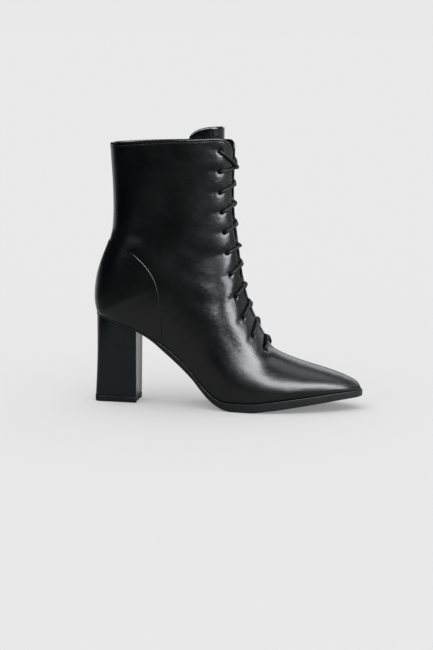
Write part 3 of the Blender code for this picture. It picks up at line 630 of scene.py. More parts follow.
@dataclass(frozen=True)
class Throat:
    """The opening between the facings, and its lace holes, in millimetres."""

    length: float = 202.0
    half_gap: float = 8.5
    gap_fade: float = 0.03
    outer_corner: Pair = (17.0, 12.0)
    inner_corner: Pair = (12.0, 10.0)
    holes: int = 11
    hole_radius: float = 2.3
    hole_reach: float = 24.0
    hole_first: float = 10.5
    hole_last: float = 7.0
    hole_spread: float = 1.05
    far_off: float = 1000.0

    def gap(self, drop: Array) -> Array:
        """Half gap between the facings, nothing past the throat's lower end.

        Args:
            drop: distances down from the collar.

        Returns:
            Half gaps.
        """
        climb = 1 - np.asarray(drop) / self.length
        width = curve(THROAT["climb"], THROAT["gap"], climb) * self.half_gap
        return width * smooth_step(THROAT["climb"][0], self.gap_fade, climb)

    def corner(self, side: Side) -> Pair:
        """Width and height of the facing's rounded top corner."""
        return self.outer_corner if side is Side.OUTER else self.inner_corner

    def edge(self, drop: Array, side: Side) -> Array:
        """Distance of the facing's edge from the front line: half gap plus the ellipse of its top corner.

        Args:
            drop: distances down from the collar.
            side: side of the boot.

        Returns:
            Distances.
        """
        wide, high = self.corner(side)
        fall = np.clip(1 - drop / high, 0, 1)
        return self.gap(drop) + wide * (1 - np.sqrt(1 - fall ** 2))

    def inside(self, drop: Array, reach: Array, side: Side) -> Array:
        """Distance in from the free edge of a rectangle with one corner rounded as an ellipse.

        Within the corner it is one less the ellipse's share q, over the length of q's slope.

        Args:
            drop: distances down from the collar.
            reach: distances from the front line, positive.
            side: side of the boot.

        Returns:
            Distances, nothing at the edge.
        """
        wide, high = self.corner(side)
        across = reach - self.gap(drop) + self.far_off * (drop > self.length)
        down = np.broadcast_to(drop, across.shape)
        u, v = np.maximum(wide - across, 0) / wide, np.maximum(high - down, 0) / high
        q = np.maximum(np.hypot(u, v), 1e-6)
        slope = np.maximum(np.hypot(u / wide, v / high) / q, 1e-6)
        return np.maximum(np.where((u > 0) & (v > 0), (1 - q) / slope, np.minimum(across, down)), 0.0)

    def drops(self) -> Array:
        """Distances of the lace holes down from the collar, a little wider apart lower down."""
        share = np.linspace(0, 1, self.holes) ** self.hole_spread
        return self.hole_first + (self.length - self.hole_last - self.hole_first) * share

    def reach(self, drop: Array) -> Array:
        """Distance of the lace holes from the front line."""
        return curve(THROAT["climb"], THROAT["hole"], 1 - np.asarray(drop) / self.length) * self.hole_reach


LAST = Last()
THROAT_PLAN = Throat()
FORM = SmoothForm(LAST)
TO_FRAME = np.array([
    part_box("outsole")[0].x / METRES + LAST.heel_ledge,
    (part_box("top_piece")[0].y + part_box("top_piece")[1].y) / 2 / METRES,
    0.0,
])


def grid_faces(index: Array) -> Array:
    """Four-cornered faces between neighbouring places of a grid of point numbers, or of a stack of grids.

    Args:
        index: the point numbers.

    Returns:
        Four point numbers for each face.
    """
    rows, others = index[..., :-1, :], index[..., 1:, :]
    corners = (rows[..., :-1], rows[..., 1:], others[..., 1:], others[..., :-1])
    return np.stack(corners, axis=-1).reshape(-1, 4)


def ring_faces(index: Array) -> Array:
    """Faces between neighbouring rings of point numbers, each ring closed."""
    return grid_faces(np.concatenate([index, index[..., :1]], axis=-1))


def fan(rings: Array) -> Array:
    """Faces that close rings of an even number of points, fanned out from the first point of each."""
    steps = range(1, rings.shape[-1] - 2, 2)
    return np.stack([rings[..., [0, k, k + 1, k + 2]] for k in steps]).reshape(-1, 4)


def place(name: str, data: ID) -> Object:
    """A new object of a mesh, light or camera, linked into the scene.

    Args:
        name: name of the object.
        data: its mesh, light or camera.

    Returns:
        The object.
    """
    thing = bpy.data.objects.new(name, data)
    bpy.context.scene.collection.objects.link(thing)
    return thing


def turn_outwards(mesh: Mesh, weld: float | None) -> None:
    """Turns a mesh's faces outwards and joins its nearest points.

    Args:
        mesh: the mesh.
        weld: distance in millimetres under which points are joined, or None.
    """
    work = bmesh.new()
    work.from_mesh(mesh)
    if weld is not None:
        bmesh.ops.remove_doubles(work, verts=work.verts, dist=weld * METRES)
        bmesh.ops.delete(work, geom=[v for v in work.verts if not v.link_faces], context="VERTS")
    bmesh.ops.recalc_face_normals(work, faces=work.faces)
    work.to_mesh(mesh)
    work.free()


def make_piece(name: str, points: Array, faces: Array, material: Material, weld: float = 0.004,
               sharp: float | None = None, inner: Material | None = None,
               lined: Array | None = None) -> Object:
    """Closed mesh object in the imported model's frame, welded and with its faces turned outwards.

    Args:
        name: name of the piece.
        points: places in millimetres in the boot's own frame.
        faces: four point numbers for each face. Faces that fold up when points are welded are dropped.
        material: its finish.
        weld: distance in millimetres under which points are joined.
        sharp: angle in degrees over which an edge stays sharp, or None.
        inner: a second finish, or None.
        lined: for each face, whether it takes the second finish.

    Returns:
        The object, riding on the boot's body.
    """
    mesh = bpy.data.meshes.new(name)
    spots = ((points.reshape(-1, 3) + TO_FRAME) * METRES).astype(np.float32)
    mesh.vertices.add(len(spots))
    mesh.vertices.foreach_set("co", spots.ravel())
    mesh.loops.add(faces.size)
    mesh.loops.foreach_set("vertex_index", faces.astype(np.int32).ravel())
    mesh.polygons.add(len(faces))
    mesh.polygons.foreach_set("loop_start", np.arange(0, faces.size, 4, dtype=np.int32))
    mesh.update(calc_edges=True)
    mesh.materials.append(material)
    if inner is not None:
        mesh.materials.append(inner)
        mesh.polygons.foreach_set("material_index", lined.astype(np.int32))
    turn_outwards(mesh, weld)
    mesh.shade_smooth()
    if sharp is not None:
        mesh.set_sharp_from_angle(angle=np.radians(sharp))
    piece = place(name, mesh)
    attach(piece, BODY)
    return piece


def cut(piece: Object, points: Array, faces: Array) -> None:
    """Cuts closed shapes out of a piece.

    Args:
        piece: the piece.
        points: the shapes' points in millimetres in the boot's own frame.
        faces: four point numbers for each face, of which a triangle's last two are the same.
    """
    mesh = bpy.data.meshes.new("cutter")
    corners = [list(dict.fromkeys(face)) for face in faces.tolist()]
    mesh.from_pydata(((points + TO_FRAME) * METRES).tolist(), [], corners)
    turn_outwards(mesh, None)
    cutter = place("cutter", mesh)
    cutter.hide_render = True
    modifier = piece.modifiers.new("cut", "BOOLEAN")
    modifier.operation = "DIFFERENCE"
    modifier.solver = "EXACT"
    modifier.object = cutter
    graph = bpy.context.evaluated_depsgraph_get()
    graph.update()
    result = bpy.data.meshes.new_from_object(piece.evaluated_get(graph))
    piece.modifiers.clear()
    piece.data = result
    bpy.data.objects.remove(cutter)


def sheet_solid(outer: Array, inner: Array, rims: Array | None = None) -> tuple[Array, Array]:
    """Points and faces of a wall between two grids, closed by strips along its four borders.

    Args:
        outer: outer face, a grid of points.
        inner: inner face, a grid of the same shape.
        rims: for each row, whether its two ends get a strip, or None for all.

    Returns:
        Points and faces.
    """
    rows, columns = outer.shape[:2]
    index = np.arange(rows * columns).reshape(rows, columns)
    inside = index + rows * columns
    faces = [grid_faces(index), grid_faces(inside)[:, ::-1]]
    keep = np.ones(rows - 1, bool) if rims is None else rims[:-1] | rims[1:]
    faces += [grid_faces(np.stack([index[:, edge], inside[:, edge]]))[keep] for edge in (0, -1)]
    faces += [grid_faces(np.stack([index[edge], inside[edge]])) for edge in (0, -1)]
    return np.concatenate([outer.reshape(-1, 3), inner.reshape(-1, 3)]), np.concatenate(faces)


def rounded(depth: Array, radius: float) -> Array:
    """How far a face is drawn in at a distance from a rounded edge: radius less the circle's height."""
    fall = np.clip(radius - depth, 0, radius)
    return radius - np.sqrt(np.maximum(radius ** 2 - fall ** 2, 0.0))


def from_edge(room: Array, close: tuple[float, ...], full: float, shares: Array) -> Array:
    """Distances in from an edge on each row: a few close steps, then shares of what is left.

    Args:
        room: length of each row.
        close: the close steps, which shrink in proportion on rows shorter than full.
        full: length from which they have their full size.
        shares: shares of the rest of the row, up to 1.

    Returns:
        One row of distances for each length.
    """
    near = np.array(close) * np.clip(room / full, 0, 1)[:, None]
    return np.concatenate([near, near[:, -1:] + (room[:, None] - near[:, -1:]) * shares], axis=1)


def stay_above_sole(face: Array, standing: Array, clear: float = 0.2) -> None:
    """Lifts points of the standing rows that would dip into the sole to a little over its upper face."""
    floor = LAST.sole_top(np.clip(face[standing][..., 0], 0, LAST.length)) + clear
    face[standing, :, 2] = np.maximum(face[standing][..., 2], floor)


def join_columns(face: Array, rows: Array, left: int, right: int) -> None:
    """Moves two columns of points, on the chosen rows, to the middle between them.

    Args:
        face: grid of points, which is changed.
        rows: for each row, whether it is chosen.
        left: number of the first column.
        right: number of the second column.
    """
    middle = (face[rows, left] + face[rows, right]) / 2
    face[rows, left] = middle
    face[rows, right] = middle


def circles(out: Array, aside: Array, sides: int) -> Array:
    """Rings of unit circles, each on two axes: cosine times the first plus sine times the second."""
    turn = (np.arange(sides) * 2 * np.pi / sides)[:, None]
    return out[..., None, :] * np.cos(turn) + aside[..., None, :] * np.sin(turn)


def tube(path: Array, radius: float, sides: int) -> Array:
    """Rings of points round a path, carried along it with the least twist.

    Args:
        path: points of the middle line.
        radius: radius of the rings.
        sides: points in a ring.

    Returns:
        Grid of points.
    """
    ahead = unit(np.gradient(path, axis=0))
    guide = np.empty_like(ahead)
    guide[0] = unit(np.cross(ahead[0], (0.3, 0.1, 1.0)))
    for k in range(1, len(path)):
        guide[k] = unit(guide[k - 1] - ahead[k] * (guide[k - 1] @ ahead[k]))
    return path[:, None] + circles(guide, np.cross(ahead, guide), sides) * radius


def along_path(at: Array, run: Array, path: Array) -> Array:
    """Places or directions of a path at given runs along it, by linear interpolation."""
    return np.stack([np.interp(at, run, path[:, axis]) for axis in range(3)], axis=-1)


def spaced(path: Array, step: float) -> Array:
    """The same path with points at even steps, after its corners are cut to quarters three times.

    Args:
        path: points of the path.
        step: distance between the new points.

    Returns:
        The new points.
    """
    for _ in range(3):
        left = np.concatenate([path[:1], path[:-1] * 0.25 + path[1:] * 0.75])
        right = np.concatenate([path[:-1] * 0.75 + path[1:] * 0.25, path[-1:]])
        between = np.stack([right[:-1], left[1:]], axis=1).reshape(-1, 3)
        path = np.concatenate([path[:1], between, path[-1:]])
    run = run_along(path)
    return along_path(np.linspace(0, run[-1], int(run[-1] / step) + 2), run, path)


def line_distance(points: Array, line: Array) -> Array:
    """Distance of each point from a line of straight pieces: to the nearest place on any piece.

    Args:
        points: points, in any grid.
        line: points of the line.

    Returns:
        A distance for each point.
    """
    start, run = line[:-1], np.diff(line, axis=0)
    off = points[..., None, :] - start
    share = np.clip((off * run).sum(axis=-1) / np.maximum((run * run).sum(axis=-1), 1e-12), 0, 1)
    return np.sqrt(((off - share[..., None] * run) ** 2).sum(axis=-1).min(axis=-1))


def arc_to(rows: Array, start: Array, end: float, steps: int = 60) -> tuple[Array, Array]:
    """Steps along each row of the face, from a start angle to an end angle.

    Args:
        rows: row places.
        start: an angle for each row.
        end: the angle at which all of them end.
        steps: how many steps.

    Returns:
        The angles at the steps, and the length run up to each.
    """
    angles = start[:, None] + (end - start)[:, None] * np.linspace(0, 1, steps)
    return angles, run_along(FORM.at(rows[:, None], angles))


def linear(code: str) -> tuple[float, float, float, float]:
    """Linear colour of an sRGB hex value: the 2.4th power, and a straight piece near black.

    Args:
        code: a hash and six hex digits.

    Returns:
        Red, green, blue and alpha.
    """
    values = [int(code[k:k + 2], 16) / 255 for k in (1, 3, 5)]
    red, green, blue = (v / 12.92 if v <= 0.04045 else ((v + 0.055) / 1.055) ** 2.4 for v in values)
    return red, green, blue, 1.0


def add(tree: NodeTree, kind: str, values: dict | None = None, links: dict | None = None,
        **settings: object) -> Node:
    """Adds a node with its settings, values and links.

    Args:
        tree: the node tree.
        kind: type of the node, without its first word ShaderNode.
        values: input values by name or number.
        links: output sockets to join to inputs, by name or number.
        settings: attributes of the node.

    Returns:
        The node.
    """
    node = tree.nodes.new("ShaderNode" + kind)
    for name, value in settings.items():
        setattr(node, name, value)
    for name, value in (values or {}).items():
        node.inputs[name].default_value = value
    for name, source in (links or {}).items():
        tree.links.new(source, node.inputs[name])
    return node


def combine(tree: NodeTree, operation: str, first: NodeSocket,
            second: NodeSocket | float) -> NodeSocket:
    """Sum, difference or product of an output and a second output or number.

    Args:
        tree: the node tree.
        operation: what the Math node does, such as MULTIPLY.
        first: an output.
        second: another output, or a number.

    Returns:
        Output of the node.
    """
    if isinstance(second, NodeSocket):
        return add(tree, "Math", links={0: first, 1: second}, operation=operation).outputs[0]
    return add(tree, "Math", {1: second}, {0: first}, operation=operation).outputs[0]


def ramp(tree: NodeTree, value: NodeSocket, source: Pair,
         goal: Pair = (0.0, 1.0), **settings: object) -> NodeSocket:
    """Output that goes from one goal to the other as the value crosses a range, and stops at its ends."""
    ends = {"From Min": source[0], "From Max": source[1], "To Min": goal[0], "To Max": goal[1]}
    return add(tree, "MapRange", ends, {"Value": value}, **settings).outputs[0]


def noise(tree: NodeTree, where: NodeSocket, size_mm: float, detail: float,
          rough: float = 0.5) -> NodeSocket:
    """Noise in space with blots of about size_mm: the scale is one over the size in metres."""
    values = {"Scale": 1 / (size_mm * METRES), "Detail": detail, "Roughness": rough}
    return add(tree, "TexNoise", values, {"Vector": where}).outputs["Fac"]


def bump(tree: NodeTree, height: NodeSocket, depth_mm: float,
         under: NodeSocket | None = None) -> NodeSocket:
    """Normal tilted by a height whose 0 to 1 is depth_mm deep, on top of another normal if there is one."""
    links = {"Height": height} | ({"Normal": under} if under is not None else {})
    return add(tree, "Bump", {"Strength": 1.0, "Distance": depth_mm * METRES}, links).outputs[0]


def tint(tree: NodeTree, share: NodeSocket, dark: str, light: str) -> NodeSocket:
    """Colour between two sRGB hex values by a share."""
    ends = {6: linear(dark), 7: linear(light)}
    return add(tree, "Mix", ends, {0: share}, data_type="RGBA").outputs[2]


def start_material(name: str) -> tuple[Material, NodeTree, Node]:
    """A new material with a Principled shader.

    Args:
        name: name of the material.

    Returns:
        The material, its tree and the shader.
    """
    material = bpy.data.materials.new(name)
    material.use_nodes = True
    tree = material.node_tree
    return material, tree, tree.nodes["Principled BSDF"]


def dress(tree: NodeTree, shader: Node, links: dict[str, NodeSocket],
          values: dict[str, object]) -> None:
    """Joins outputs to a shader's inputs and sets its other inputs, by name.

    Args:
        tree: the node tree.
        shader: the shader.
        links: outputs by name of input.
        values: values by name of input.
    """
    for name, source in links.items():
        tree.links.new(source, shader.inputs[name])
    for name, value in values.items():
        shader.inputs[name].default_value = value


@dataclass(frozen=True)
class LeatherFinish:
    """Box calf, aniline dyed and glazed: near black, a soft satin shine and hardly any grain."""

    name: str = "glazed black box calf"
    dark: str = "#020304"
    light: str = "#06080b"
    roughness: Pair = (0.24, 0.35)
    ior: float = 1.46
    coat: float = 0.10
    coat_roughness: float = 0.2
    drift_mm: float = 35.714286
    drift_range: Pair = (0.3, 0.7)
    grain_mm: float = 0.8
    grain_depth_mm: float = 0.016
    ripple_mm: float = 8.0
    ripple_depth_mm: float = 0.24
    wrinkle_mm: float = 2.4
    wrinkle_depth_mm: float = 0.14
    wrinkle_stretch: Triple = (0.55, 0.4, 1.0)
    wrinkle_slant: Triple = (0.0, 0.5, 0.0)
    flex_point: Triple = (0.008, -0.020, 0.085)
    flex_range: Pair = (0.03, 0.10)
    flex_least: float = 0.22

    def material(self) -> Material:
        """Wrinkles are stretched noise that fades with the distance from the instep's bend.

        Ripples are wide noise, grain the cells of a Voronoi pattern. Colour and roughness follow a slow
        noise over the hide.

        Returns:
            The material.
        """
        material, tree, shader = start_material(self.name)
        where = add(tree, "TexCoord").outputs["Object"]
        cells = add(tree, "TexVoronoi", {"Scale": 1 / (self.grain_mm * METRES)}, {"Vector": where})
        lay = add(tree, "Mapping", {"Scale": self.wrinkle_stretch, "Rotation": self.wrinkle_slant},
                  {"Vector": where})
        wrinkle = noise(tree, lay.outputs["Vector"], self.wrinkle_mm, 4.0, 0.6)
        away = add(tree, "VectorMath", {1: self.flex_point}, {0: where}, operation="DISTANCE")
        flex = ramp(tree, away.outputs["Value"], self.flex_range, (1.0, self.flex_least))
        normal = bump(tree, noise(tree, where, self.ripple_mm, 3.0), self.ripple_depth_mm)
        normal = bump(tree, combine(tree, "MULTIPLY", wrinkle, flex), self.wrinkle_depth_mm, normal)
        normal = bump(tree, cells.outputs["Distance"], self.grain_depth_mm, normal)
        drift = noise(tree, where, self.drift_mm, 3.0)
        dress(tree, shader, {
            "Base Color": tint(tree, drift, self.dark, self.light),
            "Roughness": ramp(tree, drift, self.drift_range, self.roughness),
            "Normal": normal,
        }, {"IOR": self.ior, "Coat Weight": self.coat, "Coat Roughness": self.coat_roughness})
        return material


@dataclass(frozen=True)
class PlainFinish:
    """A moulded, lacquered or brushed surface: one colour with a slow drift and a fine bump."""

    name: str
    dark: str
    light: str
    roughness: Pair
    grain_mm: float
    grain_depth_mm: float
    specular: float = 0.5
    drift_mm: float = 18.181818
    drift_range: Pair = (0.3, 0.7)

    def material(self) -> Material:
        """The bump is fine noise. Colour and roughness follow a slower one.

        Returns:
            The material.
        """
        material, tree, shader = start_material(self.name)
        where = add(tree, "TexCoord").outputs["Object"]
        drift = noise(tree, where, self.drift_mm, 4.0)
        dress(tree, shader, {
            "Base Color": tint(tree, drift, self.dark, self.light),
            "Roughness": ramp(tree, drift, self.drift_range, self.roughness),
            "Normal": bump(tree, noise(tree, where, self.grain_mm, 4.0, 0.6), self.grain_depth_mm),
        }, {"Specular IOR Level": self.specular})
        return material


@dataclass(frozen=True)
class CordFinish:
    """Waxed round lace, braided from polyester: dark, faintly blue green, with a fine herringbone."""

    name: str = "waxed braided lace"
    dark: str = "#030506"
    light: str = "#0b1012"
    roughness: float = 0.5
    specular: float = 0.25
    plait_mm: float = 1.5
    strands: float = 8.0
    depth_mm: float = 0.09

    def material(self) -> Material:
        """The plait is the product of two waves that run round the cord opposite ways, read from its UV.

        Returns:
            The material.
        """
        material, tree, shader = start_material(self.name)
        where = add(tree, "UVMap", uv_map="along_round").outputs["UV"]
        parts = add(tree, "SeparateXYZ", links={"Vector": where}).outputs
        along = combine(tree, "MULTIPLY", parts[0], 2 * np.pi / self.plait_mm)
        around = combine(tree, "MULTIPLY", parts[1], np.pi * self.strands)
        waves = [
            add(tree, "Math", links={0: combine(tree, operation, along, around)}, operation="SINE").outputs[0]
            for operation in ("ADD", "SUBTRACT")
        ]
        height = ramp(tree, combine(tree, "MULTIPLY", *waves), (-1.0, 1.0))
        # Painted shade: the colour follows the plait's height, darker in the grooves between the strands and
        # lighter on their crowns.
        dress(tree, shader, {
            "Base Color": tint(tree, height, self.dark, self.light),
            "Normal": bump(tree, height, self.depth_mm),
        }, {"Roughness": self.roughness, "Specular IOR Level": self.specular})
        return material


@dataclass
class Upper:
    """Vamp, quarters and shaft: one hollow wall of leather with its lining, its lace holes and folds."""

    leather: Material
    lining: Material
    wall: float = 2.0
    edge_steps: tuple[float, ...] = (0.0, 0.08, 0.25, 0.5, 0.8, 1.15, 1.5, 1.85, 2.2, 2.6, 3.1, 3.8)
    wrapped: float = 1.5
    toe_steps: tuple[float, ...] = (0.5, 0.25, 0.08, 0.0)
    row_step: float = 1.2
    columns: int = 62
    full_row: float = 60.0
    band_height: float = 0.12
    stitch_inset: float = 2.2
    groove_depth: float = 0.28
    groove_width: float = 0.42
    hole_pull: float = 0.8
    hole_spread: float = 2.8
    lip_height: float = 0.28
    lip_reach: float = 4.0
    lip_width: float = 1.2
    pleat_depth: float = 0.30
    pleat_width: float = 2.6
    pleat_reach: float = 7.0
    pleat_length: float = 5.0
    fold_height: float = 0.22
    fold_spread: float = 8.0
    foot_fade: float = 9.0
    edge_fade: float = 0.9
    tuck: float = 1.1
    bar_sides: int = 20
    bar_in: float = 6.0
    bar_out: float = 4.0
    sharp: float = 50.0

    def drops(self) -> Array:
        """Distances of the rows of points down from the collar, closer near the collar's edge and toe.

        Returns:
            Distances down the front line.
        """
        end, near = FORM.dense_drop[-1], np.array(self.edge_steps)
        rest = np.arange(near[-1] + 1.0, end - 0.6, self.row_step)
        toe = end - np.array(self.toe_steps)
        return np.concatenate([near, rest[rest < toe[0]], toe])

    def relief(self, drop: Array, reach: Array, points: Array, inside: Array, side: Side) -> Array:
        """Height of the worked leather over the plain form, in millimetres.

        It adds up the folded band along the free edge and its stitched groove, for each lace hole a dimple
        with a raised lip on its lower side and a pleat behind it, a wave of folds with one beat for each
        hole, and the listed creases.

        Args:
            drop: distances down from the collar.
            reach: distances from the front line, positive.
            points: the plain form's points.
            inside: distances in from the free edge.
            side: side of the boot.

        Returns:
            Heights.
        """
        lift = self.band_height * smooth_step(self.stitch_inset + 1.0, self.stitch_inset + 0.3, inside)
        lift -= self.groove_depth * bell(inside - self.stitch_inset, self.groove_width)
        holes = THROAT_PLAN.drops()
        for hole_drop, hole_reach in zip(holes, THROAT_PLAN.reach(holes)):
            down, back = drop - hole_drop, reach - hole_reach
            away = np.hypot(down, back)
            near = np.maximum(away, 0.5)
            # The lip stands on the lower and rear side, at 0.3 of its height straight below the hole.
            below = smooth_step(-0.3, 1.0, (down + 0.8 * back) / near) * (0.3 + 0.7 * np.abs(back) / near)
            lift -= self.hole_pull * bell(away, self.hole_spread)
            lift += self.lip_height * bell(away - self.lip_reach, self.lip_width) * below
            pleat = bell(down + 0.25 * back, self.pleat_width)
            lift -= self.pleat_depth * pleat * bell(back - self.pleat_reach, self.pleat_length)
        beat = np.interp(drop, holes, np.arange(len(holes)))
        fade = smooth_step(-4, 6, drop) * smooth_step(holes[-1] + 8, holes[-1] - 4, drop)
        line = THROAT_PLAN.reach(np.clip(drop, holes[0], holes[-1])) + 2.0
        wave = np.cos(2 * np.pi * beat) * bell(reach - line, self.fold_spread)
        lift -= self.fold_height * wave * fade
        for which, x0, z0, x1, z1, width, depth in zip(*CREASES.values()):
            if which in (0.0, side.value):
                run, flat = np.array([x1 - x0, z1 - z0]), points[..., [0, 2]] - (x0, z0)
                share = np.clip(flat @ run / (run @ run), 0, 1)
                lift -= depth * bell(np.linalg.norm(flat - share[..., None] * run, axis=-1), width)
        return lift

    def half(self, rows: Array, drop: Array, side: Side) -> tuple[Array, Array]:
        """Outer and inner faces of one side, from the facing's edge to the foot.

        The outer face is the plain form plus the relief, less the roundings of its edge and its foot. The
        inner face lies a wall's thickness behind, and dips with the holes but doesn't rise with the folds.

        Args:
            rows: row places in the form.
            drop: their distances down from the collar.
            side: side of the boot.

        Returns:
            Two grids of points.
        """
        total = FORM.side_length(rows, side)
        gap = np.where(drop > THROAT_PLAN.length, 0.0, THROAT_PLAN.edge(drop, side))
        share = np.linspace(0, 1, self.columns + 1)[1:]
        # The columns lie closer near the facing, by a share of the square, and again near the foot.
        share = 0.6 * share + 0.4 * share ** 2
        share = 1 - (1 - share) * (0.25 + 0.75 * smooth_step(0.0, 0.12, 1 - share))
        reach = gap[:, None] + from_edge(total - gap, self.edge_steps, self.full_row, share)
        angles = FORM.angles_at(rows, reach * side.value)[0]
        angles[:, -1] = 2 * side.value
        plain, normal = FORM.face(rows, angles)
        inside = THROAT_PLAN.inside(drop[:, None], reach, side)
        inside[:, 0] = np.where(gap > 0, 0.0, inside[:, 0])
        # The wall thins to 0.3 of the half width where the toe closes.
        girth = np.abs(plain[..., 1] - plain[:, -1:, 1]).max(axis=1)
        wall = np.minimum(self.wall, 0.3 * girth + 0.02)[:, None]
        to_foot = total[:, None] - reach
        relief = self.relief(drop[:, None], reach, plain, inside, side)
        relief *= smooth_step(0, self.foot_fade, to_foot) * smooth_step(0.0, self.edge_fade, inside)
        draw = rounded(inside, self.wall / 2)
        foot = rounded(to_foot, self.tuck) * 0.8 * (rows < CLOSED_ROW)[:, None]
        outer = plain + normal * (relief - draw - np.minimum(foot, wall * 0.4))[..., None]
        inner = plain + normal * (np.minimum(relief, 0.0) - wall + draw)[..., None]
        for face in (outer, inner):
            stay_above_sole(face, rows <= CLOSED_ROW)
        return outer, inner

    def build(self) -> Object:
        """Both halves joined along the vamp and the back, with the lace holes cut and the lining inside.

        The strip between the halves is kept below the throat only. The throat's lower end gets two faces of
        its own. Faces of the inner wall that lie deeper in than the wrapped edge take the lining.

        Returns:
            The piece.
        """
        drop = self.drops()
        rows = FORM.row_at(drop)
        rows[-1] = 0.0
        (outer_left, inner_left), (outer_right, inner_right) = (self.half(rows, drop, side) for side in Side)
        outer = np.concatenate([outer_left[:, ::-1], outer_right], axis=1)
        inner = np.concatenate([inner_left[:, ::-1], inner_right], axis=1)
        count, width = outer.shape[:2]
        middle = width // 2
        closed, shut = rows >= CLOSED_ROW, drop > THROAT_PLAN.length
        for face in (outer, inner):
            join_columns(face, closed, 0, -1)
            join_columns(face, shut, middle - 1, middle)
            face[-1] = face[-1].mean(axis=0)
        points, faces = sheet_solid(outer, inner, ~closed)
        column, level = faces % width, faces // width % count
        crosses = (column.min(axis=1) < middle) & (column.max(axis=1) >= middle)
        flat = level.max(axis=1) == level.min(axis=1)
        slit = (~shut).sum() - 1
        ends = slit * width + np.array([[middle - 1], [middle]]) + np.array([[0, width]])
        ends = np.concatenate([ends, ends[:, ::-1] + count * width], axis=1)
        faces = np.concatenate([faces[~crosses & ~flat], ends])
        column, level = faces % width, faces // width
        wrapped = self.edge_steps.index(self.wrapped)
        deep = (np.abs(column - middle + 0.5).min(axis=1) > wrapped) & (level.min(axis=1) >= count + wrapped)
        upper = make_piece("upper_leather", points, faces, self.leather, weld=0.0008,
                           inner=self.lining, lined=deep)
        self.punch(upper)
        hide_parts("upper")
        return upper

    def punch(self, upper: Object) -> None:
        """Cuts the lace holes with short round bars square to the leather, each end closed by a fan.

        Args:
            upper: the piece.
        """
        holes, sides = THROAT_PLAN.drops(), self.bar_sides
        bars, faces = [], []
        for side in Side:
            for centre, out in zip(*FORM.spot(holes, THROAT_PLAN.reach(holes) * side.value)):
                ends = np.array([centre - out * self.bar_in, centre + out * self.bar_out])
                start = len(bars) * (2 * sides + 2)
                index = start + np.arange(2 * sides).reshape(2, sides)
                hub = np.repeat(start + 2 * sides + np.arange(2), sides)
                fans = np.stack([index.ravel(), np.roll(index, -1, axis=1).ravel(), hub, hub], axis=-1)
                faces += [ring_faces(index), fans]
                rings = tube(ends, THROAT_PLAN.hole_radius, sides)
                bars.append(np.concatenate([rings.reshape(-1, 3), ends]))
        cut(upper, np.concatenate(bars), np.concatenate(faces))
        upper.data.shade_smooth()
        upper.data.set_sharp_from_angle(angle=np.radians(self.sharp))


@dataclass
class Counter:
    """Heel counter: a leather overlay round the heel, proud of the quarters, with a turned edge."""

    leather: Material
    length: float = 66.0
    height: float = 68.5
    step: float = 0.85
    root: float = 0.4
    rows: int = 130
    columns: int = 44
    edge_steps: tuple[float, ...] = (0.0, 0.06, 0.16, 0.3, 0.5, 0.75, 1.1, 1.6, 2.3)
    full_row: float = 8.0
    curve_points: int = 400
    lead_points: int = 40
    lead_start: float = 0.8
    above_sole: float = 0.4

    def seam(self) -> tuple[Array, Array]:
        """The seam on the form, from the back line to the foot, by its drawn side view.

        Returns:
            Rows and angles at even steps along it.
        """
        order = np.arange(len(COUNTER_SEAM["along"]))
        at = np.linspace(0, len(order) - 1, self.curve_points)
        x = curve(order, COUNTER_SEAM["along"], at) * self.length
        z = LAST.seat_top + curve(order, COUNTER_SEAM["height"], at) * self.height
        share = (z[0] - LAST.seat_top) / LAST.shaft_height
        back_x = float(LAST.under_point(1 + share)[0])
        lead = np.linspace(back_x + self.lead_start, x[0], self.lead_points)[:-1]
        x, z = np.concatenate([lead, x]), np.concatenate([np.full(len(lead), z[0]), z])
        inside = z > LAST.sole_top(x) + self.above_sole
        rows, angles = FORM.find(x[inside], z[inside])
        back_row = np.interp(1 + share, SECTIONS["under"], np.arange(TOP_ROW + 1))
        rows, angles = np.concatenate([[back_row], rows]), np.concatenate([[-2.0], angles])
        order = np.argsort(-rows)
        rows, angles = rows[order], angles[order]
        run = run_along(FORM.at(rows, angles))
        even = np.linspace(0, run[-1], self.rows)
        return np.interp(even, run, rows), np.interp(even, run, angles)

    def half(self, rows: Array, start: Array, side: Side) -> tuple[Array, Array]:
        """Outer and inner faces of one side, drawn together where they meet at the seam.

        Args:
            rows: row places.
            start: angles of the seam.
            side: side of the boot.

        Returns:
            Two grids of points.
        """
        steps, run = arc_to(rows, start, 2 * side.value)
        share = np.linspace(0, 1, self.columns + 1)[1:]
        offset = from_edge(run[:, -1], self.edge_steps, self.full_row, share)
        angles = rowwise(offset, run + np.arange(run.shape[1]) * 1e-9, steps)
        plain, normal = FORM.face(rows, angles)
        away = line_distance(plain, FORM.at(rows, start))
        away[:, 0] = 0.0
        draw = rounded(away, (self.step + self.root) / 2)
        outer = plain + normal * (self.step - draw)[..., None]
        inner = plain + normal * (draw - self.root)[..., None]
        for face in (outer, inner):
            stay_above_sole(face, rows <= CLOSED_ROW)
        return outer, inner

    def build(self) -> Object:
        """A thin wall over the form behind the seam, both sides joined along the back line.

        The strip between the sides is taken out, and under the closed rows each side gets a border strip.

        Returns:
            The piece.
        """
        rows, seam = self.seam()
        left, right = (self.half(rows, -seam * side.value, side) for side in Side)
        outer, inner = (np.concatenate([a, b[:, ::-1]], axis=1) for a, b in zip(left, right))
        count, width = outer.shape[:2]
        middle = width // 2
        closed = rows >= CLOSED_ROW
        for face in (outer, inner):
            join_columns(face, closed, middle - 1, middle)
        points, faces = sheet_solid(outer, inner)
        column = faces % width
        crosses = (column.min(axis=1) == middle - 1) & (column.max(axis=1) == middle)
        index = np.arange(count * width).reshape(count, width)
        strips = [
            grid_faces(np.stack([index[:, edge], index[:, edge] + count * width]))[~closed[1:]]
            for edge in (middle - 1, middle)
        ]
        piece = make_piece("heel_counter", points, np.concatenate([faces[~crosses], *strips]), self.leather)
        return piece


